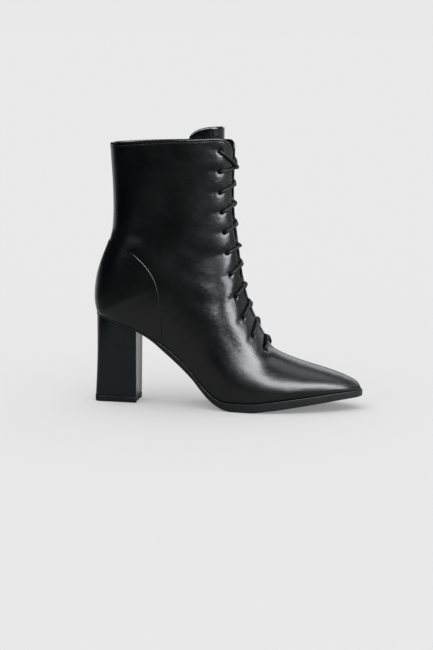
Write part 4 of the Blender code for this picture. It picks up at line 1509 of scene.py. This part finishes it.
@dataclass
class Stitching:
    """One row of stitches along the collar and down both facings."""

    thread: Material
    inset: float = 2.2
    pitch: float = 2.9
    length: float = 2.3
    radius: float = 0.26
    taper: float = 0.85
    sunk: float = 0.05
    dip: float = 0.32
    rings: int = 7
    sides: int = 6
    collar_points: int = 80
    corner_points: int = 14
    facing_points: int = 160
    end_room: float = 2.0

    def path(self, side: Side) -> tuple[Array, Array]:
        """Line of the seam on one side: along the collar from the back, round the corner, down the facing.

        Args:
            side: side of the boot.

        Returns:
            Points and normals.
        """
        wide, high = THROAT_PLAN.corner(side)
        total = FORM.side_length(FORM.row_at(np.array([self.inset])), side)[0]
        along = np.linspace(total, THROAT_PLAN.gap(0.0) + wide, self.collar_points)
        turn = np.linspace(0, np.pi / 2, self.corner_points)[1:]
        down = np.linspace(high, THROAT_PLAN.length - self.end_room, self.facing_points)[1:]
        bend = high - (high - self.inset) * np.cos(turn)
        arc = wide - (wide - self.inset) * np.sin(turn) + THROAT_PLAN.gap(bend)
        drop = np.concatenate([np.full(len(along), self.inset), bend, down])
        reach = np.concatenate([along, arc, THROAT_PLAN.gap(down) + self.inset])
        return FORM.spot(drop, reach * side.value)

    def build(self) -> Object:
        """Each stitch is a short bar, thick in the middle, that dips into the leather at its ends.

        Both the dip and the taper follow the fourth power of the place along the stitch.

        Returns:
            The piece.
        """
        bars = []
        profile = np.linspace(-1, 1, self.rings)
        size = self.radius * np.sqrt(1 - self.taper * profile ** 4)[None, :, None, None]
        for side in Side:
            points, normals = self.path(side)
            run = run_along(points)
            centres = np.arange(self.pitch / 2, run[-1] - self.pitch / 2, self.pitch)
            at = centres[:, None] + profile * self.length / 2
            out = unit(along_path(at, run, normals))
            line = along_path(at, run, points) + out * (-self.sunk - self.dip * profile[:, None] ** 4)
            aside = unit(np.cross(out, unit(line[:, -1:] - line[:, :1])))
            bars.append(line[:, :, None] + circles(out, aside, self.sides) * size)
        bars = np.concatenate(bars)
        index = np.arange(bars.size // 3).reshape(bars.shape[:3])
        faces = np.concatenate([ring_faces(index), fan(index[:, 0]), fan(index[:, -1])])
        piece = make_piece("collar_stitches", bars, faces, self.thread, weld=0.0005)
        return piece


@dataclass
class Tongue:
    """Tongue: a sheet behind the facings that leans back at its top and ends in a rounded crest."""

    leather: Material
    wall: float = 2.0
    gap: float = 0.8
    thickness: float = 2.2
    rise: float = 11.9
    top_half: float = 54.0
    foot_half: float = 20.0
    tail: float = 14.0
    lean: float = 3.4
    lean_depth: float = 50.0
    room: float = 4.3
    room_half: float = 25.0
    top_spread: float = 27.0
    spread_depth: float = 60.0
    crest_power: float = 5.5
    crest_rows: int = 15
    rows: int = 110
    columns: int = 81
    level: float = 0.6
    wave_height: float = 0.25
    wave_pace: float = 9.0
    wave_half: float = 14.0

    def sink(self, drops: Array, reach: Array, end: float) -> Array:
        """How far the sheet lies behind its place under the facings.

        The room for the lace falls off from the middle as e to the minus sixth power of the share of its
        spread, and to the tail in proportion. The lean of the top falls off with the fourth power.

        Args:
            drops: distances of the rows down from the collar.
            reach: distances from the front line.
            end: where the tongue ends.

        Returns:
            Depths.
        """
        spread = (self.room_half + self.top_spread * smooth_step(self.spread_depth, 0.0, drops))[:, None]
        room = self.room * np.exp(-(reach / spread) ** 6) * np.clip((end - drops) / self.tail, 0, 1)[:, None]
        leaned = self.lean * smooth_step(self.lean_depth, 6.0, drops)[:, None]
        return room + leaned * np.exp(-(reach / (1.4 * spread)) ** 4)

    def build(self) -> Object:
        """Grid of the front face, sunk in its middle, and the back face one thickness behind it.

        The crest is a superellipse over the top row. Both faces are drawn in towards the nearest border.

        Returns:
            The piece.
        """
        end = THROAT_PLAN.length + self.tail
        crest = 1 - np.sin(np.linspace(0, np.pi / 2, self.crest_rows + 1)[:-1]) ** 1.2
        drops = np.concatenate([np.zeros(len(crest)), np.linspace(0, end, self.rows)])
        rise = np.concatenate([crest, np.zeros(self.rows)])[:, None]
        columns = np.sin(np.linspace(-np.pi / 2, np.pi / 2, self.columns))
        width = (self.foot_half + (self.top_half - self.foot_half) * (1 - drops / end))[:, None]
        reach = columns * width
        sink = self.sink(drops, reach, end)
        rows = FORM.row_at(drops)
        angles = FORM.angles_at(rows, reach)[0]
        plain, normal = FORM.face(rows, angles)
        height = self.rise * np.sqrt(np.clip(1 - np.abs(columns) ** self.crest_power, 0, 1))
        side_gap = width * (1 - np.abs(columns))
        top_gap = np.where(rise > 0, (1 - rise) * height, drops[:, None] + height)
        inside = np.minimum(np.minimum(side_gap, top_gap), (end - drops)[:, None])
        draw = rounded(inside, self.thickness / 2)
        wave = self.wave_height * np.sin(drops / self.wave_pace)[:, None] * bell(reach, self.wave_half)
        under = self.wall + self.gap + sink - wave
        front = plain - normal * (under + draw)[..., None]
        back = plain - normal * (under + self.thickness - draw)[..., None]
        for face in (front, back):
            face[..., 2] += rise * height - self.level * FORM.collar_lift(rows[:, None], angles)
        piece = make_piece("tongue_leather", *sheet_solid(front, back), self.leather, sharp=60)
        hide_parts("tongue")
        return piece


@dataclass
class Lace:
    """One round lace: a bar under the lowest two holes, then both halves cross up to the top holes."""

    cord: Material
    diameter: float = 3.2
    behind: float = -3.75
    bar_points: int = 7
    bar_share: float = 0.8
    sides: int = 14
    step: float = 0.7
    crossings: tuple[float, ...] = (0.10, 0.30, 0.27, 0.22, 0.04, 0.20, 0.12, 0.22, 0.30, 0.34)
    out_of_hole: tuple[Pair, ...] = ((0.01, -1.9), (0.015, -0.3), (0.045, 0.9))
    into_hole: tuple[Pair, ...] = ((0.96, 0.9), (0.995, -0.3), (1.0, -1.9))

    def run(self, low: int, side: float, above: bool) -> list[Triple]:
        """Points of one run, from a hole over its facing and under the other one.

        Args:
            low: number of the hole it comes out of, counted from the top.
            side: -1 or 1, the side of that hole.
            above: whether it lies on top of the other half where they cross.

        Returns:
            Points as (drop, reach, lift).
        """
        holes = THROAT_PLAN.drops()
        start_drop, end_drop = holes[low], holes[low - 1]
        start, end = THROAT_PLAN.reach(start_drop), THROAT_PLAN.reach(end_drop)
        middle = start_drop + (end_drop - start_drop) * self.crossings[low - 1]
        gap = float(THROAT_PLAN.gap(middle))
        lying = self.diameter / 2 - 0.1
        top = low == 1
        crossing = (3.3 if above else 0.4) if top else (0.9 if above else -2.0)
        edge = 0.5 * (1 - (gap + 1.0) / start)
        way = [(0.01, self.behind), *self.out_of_hole, (0.09, lying), (0.6 * edge, lying),
               (edge, lying + 0.1), (0.5, crossing)]
        if top:
            far = 0.5 + 0.5 * (gap + 1.0) / end
            way += [(far, lying + 0.1), ((far + 1) / 2, lying), (0.91, lying), *self.into_hole,
                    (1.0, self.behind)]
        else:
            far = 0.5 + 0.5 * max(gap - 1.2, 0.6) / end
            way += [(far, self.behind + 0.5), ((far + 1) / 2, self.behind), (0.95, self.behind)]
        share, lift = np.array(way).T
        near, rest = np.clip(share * 2, 0, 1), np.clip(share * 2 - 1, 0, 1)
        drop = start_drop + (middle - start_drop) * near + (end_drop - middle) * rest
        reach = np.where(share < 0.5, start * (1 - near), -end * rest) * side
        return list(zip(drop, reach, lift))

    def half(self, side: float) -> Array:
        """Points of one half of the lace from the bar's end to the top hole.

        Args:
            side: -1 or 1, the side on which it starts.

        Returns:
            The points.
        """
        spots = []
        for low in range(THROAT_PLAN.holes - 1, 0, -1):
            spots += self.run(low, side, (side > 0) == (low % 2 == 1))
            side = -side
        return FORM.spot(*np.array(spots).T)[0]

    def build(self) -> Object:
        """Tube along the whole route, with its length and turn kept as a UV map for the braid.

        Returns:
            The piece.
        """
        last = THROAT_PLAN.drops()[-1]
        reach = np.linspace(-self.bar_share, self.bar_share, self.bar_points) * THROAT_PLAN.reach(last)
        bar = FORM.spot(last, reach, self.behind)[0]
        path = spaced(np.concatenate([self.half(-1.0)[::-1], bar, self.half(1.0)]), self.step)
        rings = tube(path, self.diameter / 2, self.sides)
        index = np.arange(len(path) * self.sides).reshape(len(path), self.sides)
        faces = np.concatenate([ring_faces(index), fan(index[0]), fan(index[-1])])
        piece = make_piece("lace", rings, faces, self.cord, weld=0.0)
        self.unwrap(piece, run_along(path))
        names = [f"lace_cross_{number:02d}" for number in range(1, THROAT_PLAN.holes)]
        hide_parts("lace_bar", *names)
        return piece

    def unwrap(self, piece: Object, run: Array) -> None:
        """UV map: U is the run along the lace in millimetres, V the turn round it, 1 where a face closes.

        Args:
            piece: the lace.
            run: the run at each ring.
        """
        mesh = piece.data
        layer = mesh.uv_layers.new(name="along_round")
        corner = np.empty(len(mesh.loops), np.int32)
        mesh.loops.foreach_get("vertex_index", corner)
        ring, turn = corner // self.sides, corner % self.sides
        starts = np.empty(len(mesh.polygons), np.int32)
        mesh.polygons.foreach_get("loop_start", starts)
        owner = np.repeat(np.arange(len(starts)), np.diff(np.append(starts, len(corner))))
        wraps = np.zeros(len(starts), bool)
        np.logical_or.at(wraps, owner[turn == self.sides - 1], True)
        share = np.where(wraps[owner] & (turn == 0), self.sides, turn) / self.sides
        layer.data.foreach_set("uv", np.stack([run[ring], share], axis=-1).astype(np.float32).ravel())


@dataclass
class Sole:
    """Moulded outsole: thin at the seat and arch, with a thick square edge round the forefoot."""

    rubber: Material
    stations: int = 260
    bevel: float = 0.9
    bevel_steps: int = 5
    rim: float = 0.5
    seat_inset: float = 0.7
    seat_end: Pair = (0.52, 0.30)
    most_inset: float = 0.5
    most_down: float = 0.3
    across: int = 12

    def corners(self, half: Array, thick: Array) -> list[tuple[Array, Array, bool]]:
        """Places of a section's corner points, from the round lower corner to the small upper rim.

        Args:
            half: half width of each section.
            thick: thickness of each section.

        Returns:
            For each point its inset from the outline, its height and whether that counts down from the top.
        """
        bevel = np.minimum(self.bevel, half * self.most_inset + 0.05)
        high = np.minimum(self.bevel, thick * self.most_down)
        turns = np.linspace(0, np.pi / 2, self.bevel_steps)
        lower = [(bevel * (1 - np.sin(turn)), high * (1 - np.cos(turn)), False) for turn in turns]
        rim = ((0.0, 0.5), (0.05, self.rim), (self.rim * 0.6, 0.08), (self.rim, 0.0))
        return lower + [
            (np.minimum(inset, half * self.most_inset), np.minimum(down, thick * self.most_down), True)
            for inset, down in rim
        ]

    def build(self) -> Object:
        """Rings across the sole, whose corners are drawn in square to the outline.

        The outline is the middle line plus or minus the half width. Each ring's corner sits at an inset
        along the outline's normal and at a share of the edge's height.

        Returns:
            The piece.
        """
        share = (1 - np.cos(np.linspace(0, np.pi, self.stations))) / 2
        x = -LAST.heel_ledge + (LAST.length + LAST.heel_ledge) * share
        half = LAST.sole_half(x, -LAST.heel_ledge, LAST.length)
        half *= 1 - self.seat_inset / (LAST.seat_width / 2) * smooth_step(*self.seat_end, x / LAST.length)
        middle, thick = LAST.sole_middle(x), LAST.sole_top(x) - LAST.sole_bottom(x)
        sides = []
        for sign in (-1.0, 1.0):
            outline = np.stack([x, middle + sign * half], axis=-1)
            tangent = np.gradient(outline, axis=0)
            normal = unit(np.stack([-tangent[:, 1], tangent[:, 0]], axis=-1)) * sign
            normal[0], normal[-1] = (-1.0, 0.0), (1.0, 0.0)
            points = []
            for inset, height, from_top in self.corners(half, thick):
                flat = outline - normal * np.broadcast_to(inset, x.shape)[:, None]
                along = flat[:, 0]
                level = LAST.sole_top(along) - height if from_top else LAST.sole_bottom(along) + height
                points.append(np.concatenate([flat, level[:, None]], axis=-1))
            sides.append(np.stack(points, axis=1))
        outer, inner = sides
        blend = np.linspace(0, 1, self.across + 2)[None, 1:-1, None]
        under = outer[:, :1] + (inner[:, :1] - outer[:, :1]) * blend
        over = inner[:, -1:] + (outer[:, -1:] - inner[:, -1:]) * blend
        under[..., 2] = LAST.sole_bottom(under[..., 0])
        over[..., 2] = LAST.sole_top(over[..., 0])
        rings = np.concatenate([outer[:, ::-1], under, inner, over], axis=1)
        index = np.arange(rings.size // 3).reshape(rings.shape[:2])
        piece = make_piece("outsole_rubber", rings, ring_faces(index), self.rubber, sharp=40)
        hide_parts("outsole")
        return piece


@dataclass
class Heel:
    """Block heel with a rounded back, straight breast and crisp corners, and its wearing piece."""

    cover: Material
    rubber: Material
    depth: float = 39.2
    top_width: float = 43.0
    top_breast: float = 34.0
    foot_width: float = 25.0
    foot_breast: float = 29.0
    foot_round: float = 11.8
    foot_squareness: float = 5.0
    top_squareness: float = 2.0
    waist: float = 1.2
    piece_height: float = 5.9
    piece_flare: float = 0.3
    corner: float = 0.9
    hollow: float = 0.7
    back_points: int = 60
    side_points: int = 10
    corner_points: int = 6
    breast_points: int = 24
    levels: int = 36
    sharp: float = 50.0
    block_foot: tuple[Pair, ...] = ((0.0, 0.35), (0.002, 0.1), (0.006, 0.0))
    piece_foot: tuple[Pair, ...] = ((0.0, 0.7), (0.25, 0.25), (0.7, 0.0))
    piece_top: tuple[Pair, ...] = ((0.7, 0.0), (0.2, 0.12), (0.0, 0.4))

    def plan(self, level: float, flare: float = 0.0, drawn_in: float = 0.0) -> Array:
        """Closed outline of the heel at a level.

        The back is a superellipse, the sides run straight to the breast's corners, which are rounded, and
        the breast is hollowed a little.

        Args:
            level: 0 at the floor end and 1 at the seat.
            flare: how much wider it is than the heel, all round the back and sides.
            drawn_in: how much it is scaled in towards its middle, in millimetres at the breast's corners.

        Returns:
            Points as (x, y).
        """
        turn = np.radians(np.linspace(-90, 90, self.back_points))
        power = 2 / (self.foot_squareness + (self.top_squareness - self.foot_squareness) * level)
        back_half = (self.foot_width + (self.top_width - self.foot_width) * level) / 2
        breast_half = (self.foot_breast + (self.top_breast - self.foot_breast) * level) / 2
        depth = self.foot_round + (LAST.heel_round - self.foot_round) * level
        back = self.waist * np.sin(np.pi * level) + LAST.fit * level - LAST.heel_ledge
        x = back + depth - np.abs(np.cos(turn)) ** power * depth - flare
        y = np.sign(np.sin(turn)) * np.abs(np.sin(turn)) ** power * (back_half + flare)
        breast_half += flare
        shoulder, corner = np.array([x[-1], y[-1]]), np.array([self.depth, breast_half])
        first, last = corner - unit(corner - shoulder) * self.corner, corner - (0.0, self.corner)
        bend = np.linspace(0, 1, self.corner_points)[:, None]
        fillet = first * (1 - bend) ** 2 + corner * 2 * bend * (1 - bend) + last * bend ** 2
        side = shoulder + (first - shoulder) * np.linspace(0, 1, self.side_points)[1:-1, None]
        reach = np.linspace(last[1], -last[1], self.breast_points)[1:-1]
        face = np.stack([self.depth - self.hollow * (1 - (reach / last[1]) ** 2), reach], axis=-1)
        upper = np.concatenate([side, fillet])
        ring = np.concatenate([np.stack([x, y], axis=-1), upper, face, (upper * (1.0, -1.0))[::-1]])
        centre = np.array([self.depth / 2, 0.0])
        return centre + (ring - centre) * (1 - drawn_in / breast_half)

    def body(self, name: str, rings: list[tuple[Array, Array | float]],
             material: Material) -> Object:
        """A body of outlines at heights, whose two ends are closed by strips from side to side.

        Args:
            name: name of the piece.
            rings: outlines, each with its heights or one height.
            material: its finish.

        Returns:
            The object.
        """
        points = np.stack([
            np.concatenate([flat, np.broadcast_to(z, len(flat))[:, None]], axis=-1) for flat, z in rings
        ])
        index = np.arange(points.size // 3).reshape(points.shape[:2])
        half = index.shape[1] // 2
        ends = [grid_faces(np.stack([ring[:half], ring[::-1][:half]])) for ring in (index[0], index[-1])]
        faces = np.concatenate([ring_faces(index), *ends])
        return make_piece(name, points, faces, material, sharp=self.sharp)

    def build(self) -> list[Object]:
        """The covered block and the wearing piece under it, with their lower edges drawn in a little.

        Returns:
            Both pieces.
        """
        low = self.piece_height + LAST.fit
        top = LAST.sole_bottom(np.clip(self.plan(1.0)[:, 0], -1, None)) - LAST.fit
        levels = [*self.block_foot, *((level, 0.0) for level in np.linspace(0.03, 1, self.levels))]
        rings = [(self.plan(level, drawn_in=inset), low + (top - low) * level) for level, inset in levels]
        block = self.body("heel_cover", rings, self.cover)
        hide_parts("heel_block")
        levels = [*self.piece_foot, *((self.piece_height - down, inset) for down, inset in self.piece_top)]
        rings = [(self.plan(0.0, self.piece_flare, inset), z) for z, inset in levels]
        piece = self.body("heel_wearing_piece", rings, self.rubber)
        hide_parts("top_piece")
        return [block, piece]


@dataclass
class Insole:
    """Padded inner sole with a soft edge."""

    lining: Material
    thickness: float = 2.2
    inset: float = 4.0
    back_room: float = 3.0
    tip_room: float = 7.0
    stations: int = 160
    columns: int = 31
    edge_fall: float = 0.6
    full_half: float = 4.0

    def build(self) -> Object:
        """Rings across the insole: flat below, and above a crown that falls to a rounded edge.

        The fall follows the eighth power of the place across. At the two ends the crown sinks with the
        half width.

        Returns:
            The piece.
        """
        back, tip = LAST.fit + self.back_room, LAST.upper_tip - self.tip_room
        x = back + (tip - back) * (1 - np.cos(np.linspace(0, np.pi, self.stations))) / 2
        half = LAST.sole_half(x, back, tip, self.inset)[:, None]
        low = (LAST.sole_top(x) + LAST.fit)[:, None]
        across = np.sin(np.linspace(-np.pi / 2, np.pi / 2, self.columns))
        crown = self.thickness * (1 - np.abs(across) ** 8 * self.edge_fall)
        over = np.stack([
            np.broadcast_to(x[:, None], (len(x), self.columns)),
            LAST.sole_middle(x)[:, None] + half * across,
            low + crown * np.clip(half / self.full_half, 0.0, 1.0),
        ], axis=-1)
        under = over.copy()
        under[..., 2] = low
        piece = make_piece("insole_lining", *sheet_solid(over, under), self.lining, sharp=50)
        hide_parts("insole")
        return piece


@dataclass(frozen=True)
class Studio:
    """Pale floor, soft light and the photograph's camera. The photograph is 433 by 650 pixels."""

    eye: Triple = (386.7, -1764.6, 366.3)
    aim: Triple = (113.5, 0.0, 75.2)
    roll: float = 0.476
    focal_pixels: float = 1914.9
    photo_height: float = 650.0
    sensor: float = 36.0
    clip: Pair = (0.05, 100.0)
    backdrop: str = "#e9e9e9"
    reflected: str = "#8f9297"
    reflected_power: float = 0.08
    floor_colour: str = "#cacaca"
    floor_size: float = 30.0
    floor_glow: float = 0.22
    flag_colour: str = "#020202"
    flag_size: float = 27.0
    flag_lift: float = 0.001
    flag_fade: Pair = (0.25, 0.75)
    flag_least: float = 0.5
    flag_behind: Triple = (0.33, 0.944, 0.0)
    flag_turn: Pair = (0.35, -0.15)
    light_distance: float = 2.2
    light_aim: float = 0.1
    light_colour: Triple = (0.94, 0.965, 1.0)
    top_power: float = 0.75
    top_angle: float = 70.0
    top_tilt: float = 10.0
    fill: float = 0.78

    def camera(self) -> None:
        """Camera of the photograph, by its place, the point it looks at and its roll.

        The lens is the focal length in pixels times the sensor's height over the photograph's height.
        """
        data = bpy.data.cameras.new("camera")
        data.sensor_width = self.sensor
        data.lens = self.focal_pixels * self.sensor / self.photo_height
        data.clip_start, data.clip_end = self.clip
        eye, aim = (Vector((np.array(spot) + TO_FRAME) * METRES) for spot in (self.eye, self.aim))
        turn = (aim - eye).to_track_quat("-Z", "Y").to_matrix().to_4x4()
        camera = place("camera", data)
        camera.matrix_world = Matrix.Translation(eye) @ turn @ Matrix.Rotation(np.radians(self.roll), 4, "Z")
        bpy.context.scene.camera = camera

    def sheet(self, name: str, material: Material, half: float, lift: float) -> Object:
        """A square sheet that lies flat round the boot.

        Args:
            name: name of the object.
            material: its material.
            half: half its side in metres.
            lift: its height in metres.

        Returns:
            The object.
        """
        mesh = bpy.data.meshes.new(name)
        corners = [(-half, -half, lift), (half, -half, lift), (half, half, lift), (-half, half, lift)]
        mesh.from_pydata(corners, [], [(0, 1, 2, 3)])
        mesh.materials.append(material)
        return place(name, mesh)

    def floor(self) -> None:
        """A wide, matt, pale floor."""
        # Backdrop paper: quite matt, so the eye sees an even pale ground and a soft contact shadow.
        material, tree, shader = start_material("matt pale paper floor")
        dress(tree, shader, {}, {
            "Base Color": linear(self.floor_colour), "Emission Color": (1.0, 1.0, 1.0, 1.0),
            "Emission Strength": self.floor_glow, "Roughness": 0.95, "Specular IOR Level": 0.0,
        })
        floor = self.sheet("floor", material, self.floor_size, 0.0)

    def flag(self) -> None:
        """A black card laid flat in front of the boot, which only reflections see.

        It keeps the pale floor out of the leather's reflections, as in a studio. It fades in with the
        distance from the boot and fades out behind it, by mixing in a transparent shader. The share is the
        product of both fades. What is behind is told by the dot product with a direction.
        """
        # Black felt: reflects next to nothing, so the leather over it reads as black, not grey.
        material, tree, shader = start_material("black felt card")
        dress(tree, shader, {}, {
            "Base Color": linear(self.flag_colour), "Roughness": 1.0, "Specular IOR Level": 0.0,
        })
        where = add(tree, "TexCoord").outputs["Object"]
        away = add(tree, "VectorMath", links={0: where}, operation="LENGTH").outputs["Value"]
        way = add(tree, "VectorMath", links={0: where}, operation="NORMALIZE").outputs[0]
        behind = add(tree, "VectorMath", {1: self.flag_behind}, {0: way}, operation="DOT_PRODUCT")
        near = ramp(tree, away, self.flag_fade, (self.flag_least, 1.0))
        turned = ramp(tree, behind.outputs["Value"], self.flag_turn, interpolation_type="SMOOTHSTEP")
        clear = add(tree, "BsdfTransparent").outputs[0]
        fade = combine(tree, "MULTIPLY", near, turned)
        mixed = add(tree, "MixShader", links={0: fade, 1: clear, 2: shader.outputs[0]})
        tree.links.new(mixed.outputs[0], tree.nodes["Material Output"].inputs["Surface"])
        flag = self.sheet("flag", material, self.flag_size, self.flag_lift)
        flag.visible_camera = False
        flag.visible_diffuse = False
        flag.visible_shadow = False
        flag.visible_transmission = False

    def softbox(self, name: str, azimuth: float, height: float, size: Pair,
                glow: float) -> None:
        """A rectangular soft light that looks at the boot's middle and shows in its reflections only.

        Args:
            name: name of the light.
            azimuth: direction in degrees, 0 at the toe's side and -90 in front of the outer side.
            height: degrees above the floor.
            size: its width and height in metres.
            glow: its radiance, which times pi and the area gives its watts.
        """
        data = bpy.data.lights.new(name, "AREA")
        data.shape = "RECTANGLE"
        data.size, data.size_y = size
        data.energy = glow * np.pi * size[0] * size[1]
        data.color = self.light_colour
        light = place(name, data)
        turn, lift = np.radians(azimuth), np.radians(height)
        way = Vector((np.cos(lift) * np.cos(turn), np.cos(lift) * np.sin(turn), np.sin(lift)))
        light.location = way * self.light_distance + Vector((0.0, 0.0, self.light_aim))
        light.rotation_mode = "QUATERNION"
        light.rotation_quaternion = (-way).to_track_quat("-Z", "Y")
        light.visible_camera = False
        light.visible_diffuse = False

    def light(self) -> None:
        """Even light for the floor, and softboxes that draw the leather's highlights."""
        sun = bpy.data.lights.new("top light", "SUN")
        sun.energy = self.top_power
        sun.angle = np.radians(self.top_angle)
        top = place("top light", sun)
        top.rotation_euler = (np.radians(self.top_tilt), np.radians(-self.top_tilt), 0)
        top.visible_glossy = False
        for name, azimuth, height, size, glow in (
            ("key box", -54, 45, (2.3, 1.0), 15.8),
            ("side box", -26, 19, (0.75, 0.95), 16.0),
            ("overhead box", 55, 62, (1.2, 1.0), 1.7),
            ("back panel", 82, 22, (2.2, 0.9), 1.8),
            ("vamp box", -66, 22, (0.45, 0.4), 14.0),
            ("toe panel", -6, 48, (1.3, 1.0), 1.6),
            ("front panel", 34, 21, (1.7, 1.0), 0.9),
            ("left box", -128, 16, (1.5, 0.5), 0.6),
        ):
            self.softbox(name, azimuth, height, size, glow)

    def surroundings(self) -> None:
        """A pale backdrop for the camera, an even fill for diffuse light and a dark room for reflections."""
        world = bpy.data.worlds.new("studio")
        bpy.context.scene.world = world
        world.use_nodes = True
        tree = world.node_tree
        tree.nodes.clear()
        pale, fill, dark = (
            add(tree, "Background", {"Color": colour, "Strength": strength}).outputs[0]
            for colour, strength in (
                (linear(self.backdrop), 1.0),
                ((1.0, 1.0, 1.0, 1.0), self.fill),
                (linear(self.reflected), self.reflected_power),
            )
        )
        ray = add(tree, "LightPath").outputs
        lit = add(tree, "MixShader", links={0: ray["Is Camera Ray"], 1: fill, 2: pale}).outputs[0]
        mixed = add(tree, "MixShader", links={0: ray["Is Glossy Ray"], 1: lit, 2: dark}).outputs[0]
        add(tree, "OutputWorld", links={0: mixed})
        bpy.context.scene.view_settings.view_transform = "Standard"


def report(name: str, pieces: list[Object]) -> None:
    """Logs the triangles of the pieces that a class made.

    Args:
        name: name of the sub-assembly.
        pieces: its pieces.
    """
    for piece in pieces:
        count = sum(len(polygon.vertices) - 2 for polygon in piece.data.polygons)
        LOG.info("%s: %s, %d triangles", name, piece.name, count)


def main() -> None:
    """Makes the camera, then every piece, then the light."""
    logging.basicConfig(level=logging.INFO, format="%(message)s")
    studio = Studio()
    studio.camera()
    # Glazed box calf: an even shine under a thin coat, so its folds draw long soft highlights on black.
    leather = LeatherFinish().material()
    # The same calf, less worked and smoother, so the tongue's top catches one clearer streak of light.
    tongue_leather = LeatherFinish(name="black tongue calf", roughness=(0.15, 0.21)).material()
    # Undyed side of a thin calf, brown and matt, so the shaft's inside reads as warm and dark.
    lining = PlainFinish("dark brown lining calf", "#1a1613", "#29221d", (0.55, 0.7), 0.8, 0.03).material()
    # Calf over a thin pad, a little browner and duller than the lining, so the foot bed stands off it.
    insole = PlainFinish("dark insole calf", "#1d1917", "#2b2522", (0.6, 0.75), 0.9, 0.03).material()
    # Moulded rubber: half matt with a fine skin, so the sole's edge is a dull dark grey line.
    sole = PlainFinish("moulded charcoal rubber", "#090a0d", "#101115", (0.42, 0.55), 0.5, 0.02,
                       0.38).material()
    # Lacquered wrap, smooth and faintly green blue, so the block heel gleams in broad upright bands.
    cover = PlainFinish("lacquered slate heel cover", "#07100f", "#0a1316", (0.22, 0.32), 0.6, 0.008,
                        0.36).material()
    # Hard solid rubber, darker and duller than the cover, so the wearing piece shows as a separate band.
    rubber = PlainFinish("hard black heel rubber", "#050708", "#0b0d0f", (0.42, 0.55), 0.5, 0.02,
                         0.3).material()
    # Twisted filament thread, greyer than the leather, so the stitches show as fine light dashes.
    thread = PlainFinish("bonded polyester thread", "#141618", "#26292c", (0.4, 0.5), 0.3, 0.02).material()
    # Waxed braid: half matt with small glints on each strand, so the lace stands off the glossy leather.
    cord = CordFinish().material()
    report("upper", [Upper(leather, lining).build()])
    report("counter", [Counter(leather).build()])
    report("stitching", [Stitching(thread).build()])
    report("tongue", [Tongue(tongue_leather).build()])
    report("lace", [Lace(cord).build()])
    report("sole", [Sole(sole).build()])
    report("heel", Heel(cover, rubber).build())
    report("insole", [Insole(insole).build()])
    studio.floor()
    studio.flag()
    studio.light()
    studio.surroundings()


if __name__ == "__main__":
    main()
